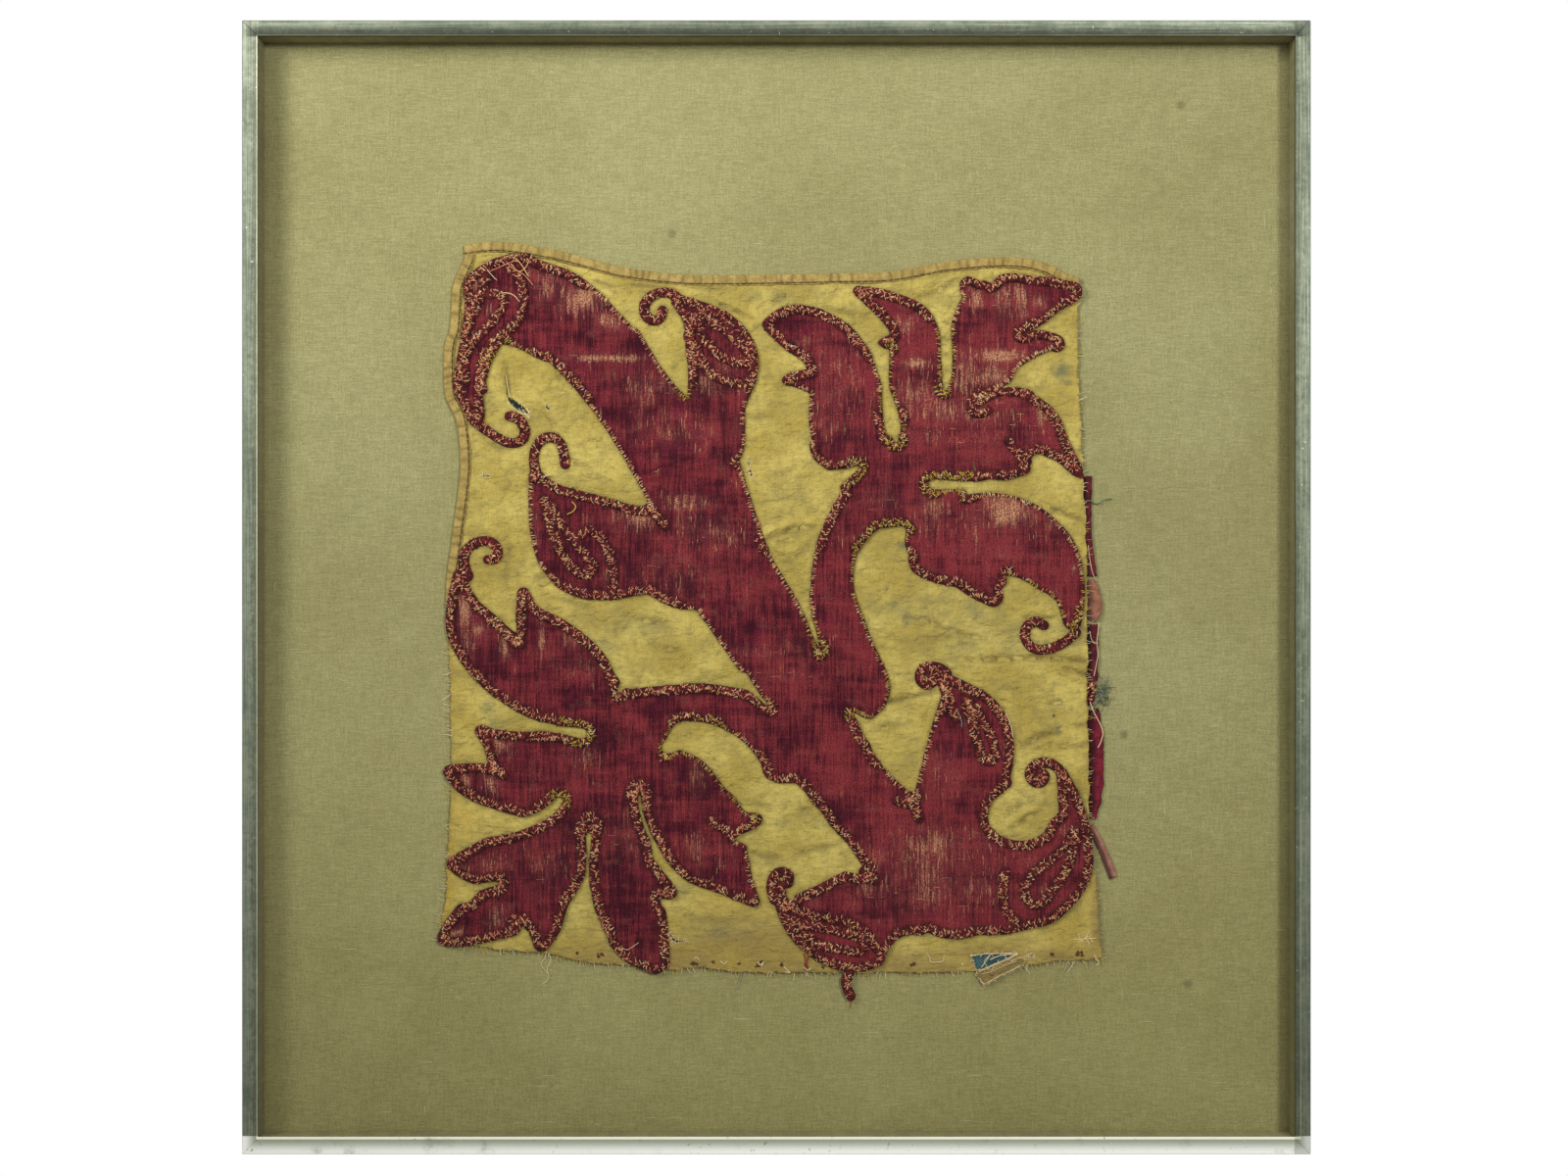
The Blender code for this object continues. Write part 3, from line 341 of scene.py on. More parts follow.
# Cord that runs on from the outline of the leaves.  Columns: x, y.
CURLS = {
    "curl_hook": [(484, 430), (505, 445), (520, 452), (532, 450), (536, 440), (530, 428),
                  (520, 425)],
    "curl_boteh_north": [(690, 303), (682, 299), (672, 299.5), (663, 304), (657.5, 313), (659, 322),
                         (666, 327.5), (674, 325), (676, 317)],
    "curl_boteh_west": [(548, 484), (545, 472), (546, 460), (552, 450), (561, 446), (570, 450),
                        (575, 460), (577, 474)],
    "curl_leaf_f": [(478, 588), (474, 576), (476, 562), (488, 553), (501, 553), (508, 561),
                    (506, 570), (498, 571)],
    "curl_leaf_e": [(1098, 645), (1086, 655), (1070, 662), (1055, 662), (1046, 652), (1047, 640),
                    (1056, 634), (1065, 638)],
    "curl_boteh_south": [(966, 687), (958, 681), (948, 680), (940, 684), (938, 692), (943, 698),
                         (951, 697), (954, 691), (949, 687)],
    "curl_boteh_east": [(1084, 790), (1076, 781), (1064, 777.5), (1054, 782), (1050, 790), (1055, 798),
                        (1063, 798), (1066, 791), (1060, 787)],
    "curl_boteh_foot": [(790, 918), (787, 905), (790, 894), (798, 889), (805, 894), (804, 901)],
    "tail_trunk": [(667, 522), (679, 537)],
    "tail_leaf_h": [(502, 783), (509, 788), (515, 791)],
    "tail_foot": [(932, 812), (935, 824), (937, 835)],
    "tail_trunk_foot": [(881, 889), (892, 897)],
    "loose_end": [(866, 994), (863, 1003), (868, 1016)],
}

# Cord laid on the velvet inside the botehs.  Columns: x, y.
LOOPS = {
    "cord_hook_outer": [(519, 272), (529, 282), (534.5, 297), (534, 315), (527, 331), (514, 341),
                        (502, 352), (494, 366), (490, 382), (493, 398)],
    "cord_hook_inner": [(500, 301), (510, 300), (514.5, 309), (510, 320), (499, 333), (488, 344),
                        (479, 356), (474.5, 371), (476, 390)],
    "cord_north_outer": [(702, 343), (709, 353), (715, 366), (723, 378), (734, 387), (747, 391),
                         (759, 391), (767, 386)],
    "cord_north_inner": [(709, 320), (714, 334), (720, 347), (731, 360), (744, 368), (757, 371),
                         (764, 366), (758, 354), (746, 343), (733, 333), (720, 324), (710, 318)],
    "cord_west_inner": [(555, 508), (559, 526), (564, 542), (570, 558), (579, 573), (590, 584),
                        (601, 586), (606, 577), (598, 566), (586, 551), (575, 537), (565, 522),
                        (558, 510)],
    "cord_west_outer": [(592, 546), (600, 541), (610, 545), (618, 556), (624, 570), (627, 585),
                        (625, 600)],
    "cord_south_inner": [(984, 712), (988, 726), (993, 742), (997, 758), (1001, 772), (1009, 777),
                         (1015, 770), (1012, 755), (1006, 741), (998, 727), (988, 714)],
    "cord_east_outer": [(1025, 888), (1023, 902), (1023, 918), (1028, 931), (1038, 939)],
    "cord_east_inner": [(1097, 845), (1090, 857), (1080, 869), (1067, 880), (1054, 890), (1046, 902),
                        (1046, 914), (1054, 923), (1064, 921), (1071, 911), (1079, 900), (1088, 886),
                        (1094, 870), (1098, 852)],
    "cord_foot_outer": [(803, 924), (818, 930), (834, 934), (850, 937), (866, 940), (880, 947),
                        (889, 957), (894, 968)],
    "cord_foot_inner": [(808, 936), (820, 942), (834, 945), (848, 948), (862, 951), (875, 956),
                        (882, 963), (877, 971), (865, 969), (851, 967), (838, 964), (827, 957),
                        (817, 948), (808, 938)],
}
# More passes of the same cord.  Columns: x, y.
DOUBLED = {
    "hook_left": [(497, 284), (492, 298), (486, 314), (480, 328), (476, 342)],
    "south_left": [(963, 695), (967, 708), (971, 722), (975, 734)],
    "foot_curl": [(797, 903), (798, 914), (800, 926)],
    "west_tail": [(662, 518), (668, 523), (674, 529), (679, 535)],
    "leaf_d_fold": [(1028, 450), (1034, 458), (1041, 464), (1048, 471)],
    "leaf_d_loop": [(1002, 400), (993, 408), (990, 417), (997, 423), (1008, 419)],
    "leaf_f_slot": [(500, 632), (508, 637), (515, 643), (524, 650), (532, 658)],
    "wedge_tail": [(927, 812), (931, 820), (934, 828), (938, 835)],
    "wedge_side": [(914, 816), (921, 819), (930, 820)],
    "leaf_l_fold": [(724, 836), (732, 841), (740, 846), (747, 848)],
    "leaf_h_notch": [(502, 779), (508, 784), (514, 789)],
    "leaf_j_notch": [(521, 942), (528, 936), (536, 940)],
    "slot_k_top": [(641, 813), (645, 803), (652, 798), (659, 803), (662, 813)],
    "slot_i_top": [(591, 850), (593, 838), (601, 832), (609, 836), (612, 847)],
}

# Velvet and tape sewn behind the right edge, that show past it.  Columns: y, inner x, outer x.
RIGHT_STRIPS = {
    "velvet_strip_upper": [(486, 1102, 1114), (540, 1103, 1113), (588, 1105, 1119)],
    "tape_middle": [(591, 1105, 1117), (600, 1105, 1121), (613, 1105, 1124), (627, 1106, 1124),
                    (634, 1106, 1119)],
    "velvet_strip_middle": [(637, 1106, 1120), (660, 1106, 1121), (690, 1106, 1120), (720, 1107, 1116)],
    "velvet_strip_lower": [(723, 1107, 1121), (750, 1107, 1126), (800, 1107, 1126),
                           (820, 1108, 1123), (836, 1109, 1118)],
}
TAPE_TAIL = [(1112, 843), (1119, 854), (1126, 870), (1136, 896)]
TAPE_TAIL_HALF = 4.0


# Edges where the couched cord has worn away to its stitches.  Columns: x, y.
THIN_EDGES = {
    "hook_outer": [(606, 291), (618, 302), (650, 345), (680, 385), (699, 409)],
    "north_stem": [(693, 345), (697, 380), (699, 405)],
    "hook_inner": [(503, 388), (512, 362), (540, 352), (570, 359), (588, 374)],
    "trunk_left": [(604, 418), (635, 462), (668, 515)],
    "trunk_right": [(760, 385), (757, 430), (762, 490), (776, 540)],
    "leaf_a_left": [(812, 395), (828, 405), (827, 450)],
    "leaf_a_right": [(893, 370), (903, 410), (908, 440)],
    "stem_north_left": [(830, 565), (828, 605), (834, 645)],
    "stem_north_right": [(872, 570), (866, 605), (870, 640)],
    "west_left": [(541, 498), (546, 545), (557, 585)],
    "leaf_b_left": [(904, 362), (908, 400), (916, 440)],
    "leaf_b_right": [(955, 330), (962, 385)],
    "leaf_c_left": [(985, 295), (974, 345), (970, 395)],
    "leaf_c_low": [(1072, 362), (1040, 377), (1012, 392)],
    "slot_east": [(965, 503), (1015, 500), (1060, 520), (1098, 575), (1106, 615)],
    "leaf_e_low": [(1038, 582), (1065, 600), (1088, 632)],
    "window_east": [(925, 550), (950, 562), (975, 570)],
    "wedge_foot": [(885, 742), (903, 778), (925, 806)],
    "south_left": [(962, 735), (945, 770), (934, 800)],
    "leaf_l_top": [(690, 772), (715, 782), (738, 812), (760, 830)],
    "leaf_l_right": [(752, 862), (763, 890), (766, 912)],
    "window_south_left": [(716, 740), (690, 744), (674, 762)],
    "stem_west_low": [(742, 742), (765, 765)],
    "heel_north_low": [(872, 722), (890, 732), (905, 730)],
    "trunk_east": [(866, 600), (878, 640), (892, 665), (904, 690), (902, 712), (890, 728)],
    "window_middle": [(705, 618), (735, 658), (758, 684), (782, 715)],
    "wedge_left": [(785, 570), (800, 600), (815, 630), (830, 655)],
}
# Edges whose cord lies outside the drawn outline.  Columns: x, y.
OUTER_EDGES = {
    "leaf_e_low": [(925, 575), (950, 586), (980, 597), (1008, 614), (1018, 600)],
    "window_boteh": [(1024, 803), (1006, 820), (1003, 838), (1014, 855), (1037, 863), (1062, 855),
                     (1078, 838)],
    "leaf_c_tip": [(1062, 348), (1082, 352), (1070, 362), (1050, 368)],
    "leaf_d_left": [(1046, 400), (1020, 402), (1000, 412)],
    "foot_window": [(820, 914), (845, 906), (865, 897), (880, 893)],
    "leaf_k_right": [(676, 935), (678, 960), (682, 980)],
}

# Edges held down by yellow thread instead of red.  Columns: x, y.
YELLOW_EDGES = {
    "hook_inner": [(503, 385), (512, 360), (542, 350), (572, 358), (592, 376)],
    "north_stem": [(693, 330), (698, 408)],
    "slot_east": [(985, 485), (955, 484), (947, 494), (958, 504), (975, 505)],
    "slot_west": [(578, 738), (594, 738), (601, 748), (592, 757)],
    "window_south": [(684, 776), (671, 766), (676, 750), (700, 741), (735, 742)],
    "leaf_l_top": [(690, 772), (716, 782), (740, 815), (772, 832)],
    "leaf_b_left": [(905, 360), (914, 452)],
    "leaf_c_left": [(962, 320), (966, 402)],
    "leaf_a_right": [(902, 400), (911, 452)],
    "leaf_e_low": [(1036, 580), (1066, 600), (1092, 640)],
    "leaf_e_tip": [(1106, 600), (1101, 642)],
    "window_east": [(873, 575), (890, 548), (915, 536), (928, 552)],
    "wedge_trunk": [(822, 635), (837, 666)],
    "heel_north_low": [(868, 722), (885, 734), (908, 730)],
    "trunk_foot": [(876, 475), (862, 490)],
    "trunk_east_low": [(904, 700), (900, 716), (888, 730)],
    "trunk_east_high": [(868, 570), (867, 600), (872, 625)],
    "hub_slot": [(570, 812), (580, 815)],
}

# Worn pile on the velvet.  Columns: x, y, half width, half height, amount.
WORN_PATCHES = [
    (560, 292, 18, 14, 0.6), (596, 305, 26, 16, 0.75), (626, 328, 18, 10, 0.6),
    (484, 292, 5, 9, 0.8), (500, 316, 4, 7, 0.6), (481, 338, 4, 4, 0.9), (475, 412, 5, 6, 0.6),
    (620, 366, 44, 4, 0.8), (655, 395, 18, 18, 0.5), (700, 392, 50, 12, 0.55),
    (745, 372, 14, 8, 0.5), (690, 440, 46, 22, 0.3), (652, 528, 20, 15, 0.75),
    (700, 513, 28, 10, 0.5), (725, 545, 40, 18, 0.35), (690, 590, 40, 20, 0.25),
    (575, 535, 6, 9, 0.5), (620, 590, 6, 9, 0.5), (548, 545, 4, 20, 0.4),
    (820, 350, 8, 6, 0.3), (850, 375, 22, 6, 0.35), (850, 425, 24, 22, 0.3),
    (922, 332, 18, 9, 0.55), (936, 371, 16, 5, 0.95), (935, 405, 24, 22, 0.5),
    (995, 305, 8, 16, 0.75), (1022, 305, 10, 22, 0.7), (1042, 305, 8, 20, 0.65),
    (1060, 308, 7, 8, 0.7), (1022, 363, 28, 7, 1.0), (985, 385, 14, 26, 0.55),
    (1012, 385, 22, 12, 0.7), (970, 418, 40, 14, 0.55), (1064, 420, 9, 16, 0.75),
    (1000, 425, 30, 8, 0.5), (1030, 425, 16, 10, 0.4), (945, 445, 30, 10, 0.3),
    (952, 520, 16, 24, 0.5), (1025, 518, 24, 22, 0.85), (1048, 520, 12, 22, 0.6),
    (1072, 528, 9, 13, 0.6), (1096, 580, 5, 5, 0.7), (900, 512, 20, 10, 0.4),
    (858, 548, 14, 10, 0.3), (474, 624, 7, 20, 1.0), (490, 643, 10, 8, 0.8),
    (478, 655, 10, 14, 0.55), (514, 660, 6, 13, 0.8), (553, 655, 4, 20, 0.6),
    (585, 655, 12, 9, 0.5), (600, 680, 26, 12, 0.3), (515, 758, 13, 13, 0.6),
    (476, 796, 6, 8, 1.0), (500, 800, 12, 14, 0.45), (595, 770, 14, 16, 0.35),
    (472, 890, 6, 9, 0.8), (500, 885, 28, 16, 0.4), (466, 952, 9, 6, 0.9),
    (508, 935, 10, 18, 0.5), (560, 880, 30, 24, 0.25), (640, 855, 26, 22, 0.25),
    (712, 790, 10, 16, 0.4), (712, 868, 8, 20, 0.5), (735, 880, 6, 10, 0.35),
    (955, 862, 32, 16, 0.6), (985, 850, 24, 8, 0.35), (950, 915, 16, 14, 0.6),
    (1000, 905, 30, 16, 0.3), (890, 905, 18, 12, 0.45), (1090, 855, 9, 14, 0.7),
    (1064, 908, 4, 6, 0.8), (780, 690, 60, 8, 0.25), (830, 660, 30, 14, 0.15),
    (1030, 760, 8, 12, 0.3), (960, 790, 20, 26, 0.25), (770, 665, 50, 6, 0.25),
    (950, 890, 80, 44, 0.35), (1020, 520, 60, 40, 0.25), (860, 400, 30, 60, 0.2), (1000, 410, 80, 60, 0.2),
]

# Grey and green stains on the silk.  Columns: x, y, half width, half height, amount.
STAINS = [
    (911, 617, 6, 3, 1.0), (905, 600, 3, 2, 0.5), (919, 632, 20, 4, 0.35), (1012, 614, 7, 5, 0.5),
    (922, 557, 6, 4, 0.9), (1084, 377, 7, 8, 0.8), (1086, 390, 6, 3, 1.0), (1078, 385, 3, 7, 0.6),
    (473, 724, 7, 5, 0.35), (498, 722, 8, 9, 0.4), (503, 737, 5, 3, 0.4), (1077, 697, 3, 2, 0.7),
    (1080, 716, 4, 4, 0.9), (1080, 745, 4, 5, 0.9), (1067, 741, 5, 3, 0.8), (1062, 740, 2, 2, 0.8),
    (970, 640, 8, 3, 0.5), (985, 656, 4, 4, 0.4), (925, 635, 3, 6, 0.6), (1053, 727, 5, 4, 0.3),
    (800, 300, 40, 10, 0.25), (560, 416, 3, 2, 0.9), (492, 485, 7, 2, 0.7), (560, 870, 3, 3, 0.4),
    (690, 906, 14, 7, 0.35), (1058, 658, 20, 10, 0.25), (1095, 650, 14, 22, 0.4),
    (940, 620, 50, 16, 0.3), (1030, 655, 60, 18, 0.3), (1000, 620, 30, 14, 0.35),
    (655, 560, 10, 4, 0.3), (612, 650, 20, 30, 0.3), (660, 640, 26, 8, 0.35), (580, 880, 8, 6, 0.3),
    (556, 630, 14, 10, 0.3), (842, 760, 12, 10, 0.3), (770, 880, 20, 5, 0.35), (800, 840, 22, 4, 0.3),
    (735, 950, 30, 8, 0.3), (490, 870, 14, 6, 0.35), (880, 360, 8, 8, 0.4), (836, 450, 10, 6, 0.3),
    (800, 505, 24, 5, 0.25), (1112, 760, 4, 40, 0.2), (1070, 320, 16, 6, 0.25),
]

# Ochre ageing of the silk.  Same columns.
AGEING = [
    (457, 700, 6, 70, 1.0), (456, 880, 7, 90, 1.0), (470, 830, 22, 16, 0.5),
    (1116, 900, 8, 40, 0.6), (760, 925, 60, 20, 0.3), (1085, 950, 20, 14, 0.4),
    (560, 355, 40, 4, 0.9), (605, 950, 14, 30, 0.5), (1104, 560, 5, 60, 0.5),
    (1110, 720, 4, 80, 0.4), (1095, 390, 8, 60, 0.35), (510, 748, 40, 5, 0.4),
    (904, 715, 16, 6, 0.4), (475, 720, 16, 30, 0.45),
]

# Brown soil of the silk.  Same columns.
SOILED = [
    (560, 975, 70, 8, 0.5), (620, 975, 60, 16, 0.7), (700, 980, 70, 20, 0.85),
    (770, 968, 80, 34, 0.9), (850, 980, 80, 18, 0.8), (930, 985, 80, 14, 0.8),
    (1010, 975, 60, 14, 0.6), (1080, 975, 50, 10, 0.75), (1120, 940, 8, 40, 0.8),
    (1114, 968, 14, 12, 0.6), (1040, 962, 40, 8, 0.4), (605, 950, 12, 24, 0.45),
]

# Soft creases of the cloth.  Rows: stations.  Columns: x, y, half width, depth in millimetres;
# a depth below nought is a ridge.
CREASES = [
    [(652, 486, 3, 0.3), (672, 480, 3, 1.0), (692, 474, 3, 1.0), (712, 465, 2.5, 0.3)],
    [(783, 549, 3, 0.7), (805, 542, 3.5, 1.0), (832, 538, 3.5, 0.6)],
    [(783, 541, 4, -0.4), (805, 534, 4, -0.5), (832, 530, 4, -0.3)],
    [(795, 554, 4, 0.4), (808, 550, 4, 0.6), (826, 540, 4, 0.4)],
    [(800, 574, 4, 0.3), (812, 568, 4, 0.5), (826, 560, 4, 0.3)],
    [(762, 426, 4, 0.5), (780, 425, 4, 0.7), (795, 424, 4, 0.2)],
    [(784, 487, 4, 0.3), (796, 484, 4, 0.5), (812, 478, 4, 0.2)],
    [(724, 306, 2.5, 0.4), (742, 314, 2.5, 1.0), (768, 325, 2.5, 0.4)],
    [(770, 311, 3, -0.5), (784, 304, 3, -0.8), (800, 296, 3, -0.3)],
    [(780, 316, 4, 0.4), (794, 308, 4, 0.5), (808, 300, 4, 0.2)],
    [(644, 291, 3, 0.7), (660, 292, 3, 0.8), (684, 293, 3, 0.4)],
    [(700, 292, 3, 0.4), (725, 295, 3, 0.5), (750, 293, 3, 0.2)],
    [(604, 281, 3, -0.6), (622, 288, 3, -0.7), (636, 292, 3, -0.3)],
    [(606, 288, 3, 0.4), (620, 294, 3, 0.4), (634, 300, 3, 0.2)],
    [(632, 286, 2.5, -0.5), (640, 296, 2.5, -0.5)],
    [(838, 314, 4, 0.4), (860, 319, 4, 0.6), (884, 324, 4, 0.3)],
    [(770, 333, 3, 0.4), (780, 335, 3, 0.6), (792, 334, 3, 0.3)],
    [(780, 386, 3, 0.6), (790, 387, 3, 0.3)],
    [(936, 304, 4, 0.5), (955, 298, 4, 0.7), (978, 288, 4, 0.4)],
    [(930, 295, 4, -0.3), (950, 290, 4, -0.4), (970, 280, 4, -0.2)],
    [(966, 330, 3, 0.5), (972, 332, 3, 0.4)], [(962, 345, 3, 0.5), (970, 348, 3, 0.4)],
    [(964, 362, 3, 0.5), (970, 365, 3, 0.4)], [(964, 378, 3, 0.4), (970, 381, 3, 0.4)],
    [(516, 372, 3, 0.5), (518, 390, 3, 0.9), (520, 404, 3, 0.6)],
    [(508, 378, 4, -0.4), (510, 398, 4, -0.5)],
    [(566, 372, 4, 0.3), (572, 382, 5, 0.6), (562, 396, 5, 0.5)],
    [(544, 421, 2.5, 0.3), (556, 424, 2.5, 0.6), (567, 436, 2.5, 0.5)],
    [(577, 471, 4, 0.8), (590, 474, 4, 0.5), (604, 478, 4, 0.2)],
    [(486, 404, 3, 0.3), (500, 450, 4, 0.6), (514, 460, 4, 0.4)],
    [(478, 545, 5, 0.4), (498, 547, 5, 0.4)],
    [(516, 590, 5, 0.5), (520, 560, 5, 0.5)],
    [(548, 590, 4, 0.6), (556, 588, 4, 0.8), (566, 584, 4, 0.3)],
    [(562, 610, 5, 0.3), (584, 614, 5, 0.6), (600, 620, 5, 0.4)],
    [(640, 630, 6, 0.4), (664, 634, 6, 0.6), (684, 640, 6, 0.3)],
    [(664, 660, 5, 0.3), (690, 664, 5, 0.5)],
    [(1044, 629, 2.5, 0.5), (1056, 631, 3, 1.0), (1072, 630, 3, 0.8), (1082, 626, 3, 0.3)],
    [(1046, 623, 3, -0.4), (1062, 622, 3, -0.5), (1080, 618, 3, -0.2)],
    [(924, 629, 2.5, 0.5), (945, 634, 2.5, 0.8), (968, 643, 2.5, 0.7), (1000, 652, 3, 0.4)],
    [(962, 673, 3, 0.4), (1010, 674, 3, 0.8), (1055, 672, 3, 0.9), (1108, 675, 3, 0.9)],
    [(960, 665, 4, -0.3), (1030, 665, 4, -0.5), (1104, 666, 4, -0.4)],
    [(1086, 682, 3, 0.5), (1110, 689, 3, 0.9)], [(1096, 640, 3, 0.5), (1110, 644, 3, 0.5)],
    [(1094, 652, 3, 0.4), (1110, 656, 3, 0.4)], [(1076, 730, 3, 0.2), (1108, 728, 3, 0.4)],
    [(904, 717, 3, 0.9), (920, 713.5, 3, 1.0), (940, 709, 3, 0.8), (958, 705, 3, 0.3)],
    [(906, 708, 4, -0.4), (924, 704, 4, -0.5)],
    [(892, 745, 4, 0.4), (910, 742, 4, 0.5), (930, 738, 4, 0.2)],
    [(1042, 764, 4, 0.5), (1060, 752, 4, 0.9), (1080, 747, 4, 0.5)],
    [(1040, 754, 4, -0.4), (1060, 742, 4, -0.5)],
    [(1052, 712, 3, 0.4), (1070, 717, 3, 0.6), (1082, 717, 3, 0.4)],
    [(1090, 744, 4, 0.4), (1110, 738, 4, 0.5)], [(1080, 764, 4, 0.3), (1108, 760, 4, 0.5)],
    [(1020, 700, 5, 0.3), (1040, 706, 5, 0.4)], [(940, 655, 5, 0.3), (970, 648, 5, 0.5)],
    [(880, 640, 3, 0.4), (905, 650, 4, 0.5), (930, 656, 4, 0.2)],
    [(1030, 846, 4, 0.5), (1050, 834, 4, 0.7), (1068, 822, 4, 0.3)],
    [(1026, 832, 4, 0.3), (1042, 820, 4, 0.5)],
    [(752, 868, 4, 0.3), (775, 872, 4, 0.6), (800, 878, 4, 0.3)],
    [(812, 874, 4, 0.3), (832, 866, 4, 0.6), (856, 862, 4, 0.4)],
    [(770, 820, 5, 0.3), (786, 826, 5, 0.4)], [(800, 836, 5, 0.2), (826, 826, 5, 0.4)],
    [(700, 936, 5, 0.4), (735, 940, 5, 0.4), (770, 938, 5, 0.2)],
    [(730, 745, 4, 0.4), (745, 752, 4, 0.3)], [(920, 433, 2, -0.6), (945, 435, 2, -0.7), (986, 438, 2, -0.3)],
    [(918, 438, 3, 0.4), (950, 441, 3, 0.6), (984, 444, 3, 0.3)], [(700, 432, 4, 0.3), (745, 428, 4, 0.4)],
    [(790, 672, 4, 0.4), (840, 668, 4, 0.5), (890, 678, 4, 0.3)],
    [(780, 600, 4, 0.4), (790, 606, 4, 0.7), (800, 600, 3, 0.3)],
    [(660, 765, 5, 0.3), (640, 775, 5, 0.5), (620, 780, 5, 0.3)],
    [(1000, 455, 4, 0.3), (960, 462, 4, 0.5), (930, 470, 4, 0.2)],
    [(560, 840, 5, 0.4), (590, 860, 5, 0.4)], [(930, 870, 6, 0.3), (930, 930, 6, 0.4)],
    [(870, 470, 5, 0.3), (910, 478, 5, 0.4)], [(752, 396, 4, 0.3), (720, 400, 4, 0.5), (700, 398, 4, 0.3)],
    [(500, 890, 4, 0.4), (535, 892, 4, 0.5)], [(650, 400, 6, 0.3), (640, 350, 6, 0.4)],
    [(921, 429, 2, -0.4), (932, 424, 2, -0.5), (944, 418, 2, -0.3)],
    [(1062, 513, 3, 0.6), (1080, 522, 3, 0.8), (1106, 532, 3, 0.6)],
    [(971, 346, 3, 0.4), (990, 352, 3, 0.5), (1006, 358, 3, 0.3)],
    [(1108, 830, 3, 0.4), (1100, 800, 3, 0.5)], [(1090, 905, 4, 0.5), (1112, 890, 4, 0.5)],
]

# Slits and tears in the silk.  Columns: x, y, half width.
TEARS = [
    [(516, 384, 0.9), (518, 396, 1.1), (519, 404, 1.5), (524, 411, 2.8), (531, 416, 3.2),
     (537, 421, 1.6), (540, 425, 0.6)],
    [(763, 467, 0.5), (764, 471, 1.1), (764, 475, 0.5)],
    [(765, 479, 0.5), (766, 483, 1.3), (768, 487, 0.6)],
    [(558, 414, 0.8), (560, 417, 1.4)],
    [(493, 485, 0.6), (499, 486, 0.9)],
    [(683, 952, 0.8), (688, 959, 1.3), (693, 960, 1.0), (702, 959, 0.5)],
    [(1046, 976, 0.8), (1054, 974, 0.9)],
]
FLAP_EDGE = [
    (1041, 976), (1046, 979), (1041, 985), (1030, 991), (1020, 995), (1008, 1003), (1003, 1004),
    (998, 997), (995, 993), (1000, 990), (1014, 987), (1030, 981),
]

# Rust-brown ends of old stitches.  Columns: x, y, radius.
BROWN_KNOTS = [
    (589, 972, 2.0), (611, 975, 2.6), (615, 973, 2.0), (707, 982, 2.4), (711, 983, 2.0),
    (728, 981, 2.0), (754, 983, 1.6), (773, 985, 2.4), (777, 981, 2.0), (797, 984, 2.0),
    (822, 986, 3.0), (840, 986, 2.2), (848, 985, 1.6), (930, 984, 2.2), (933, 983, 1.6),
    (1011, 995, 2.6), (1023, 991, 1.6), (1073, 973, 2.4), (1100, 972, 2.6), (1104, 974, 1.6),
    (1075, 730, 1.2), (882, 962, 1.4), (1029, 982, 2.2), (1099, 973, 2.0), (1103, 971, 1.8),
]

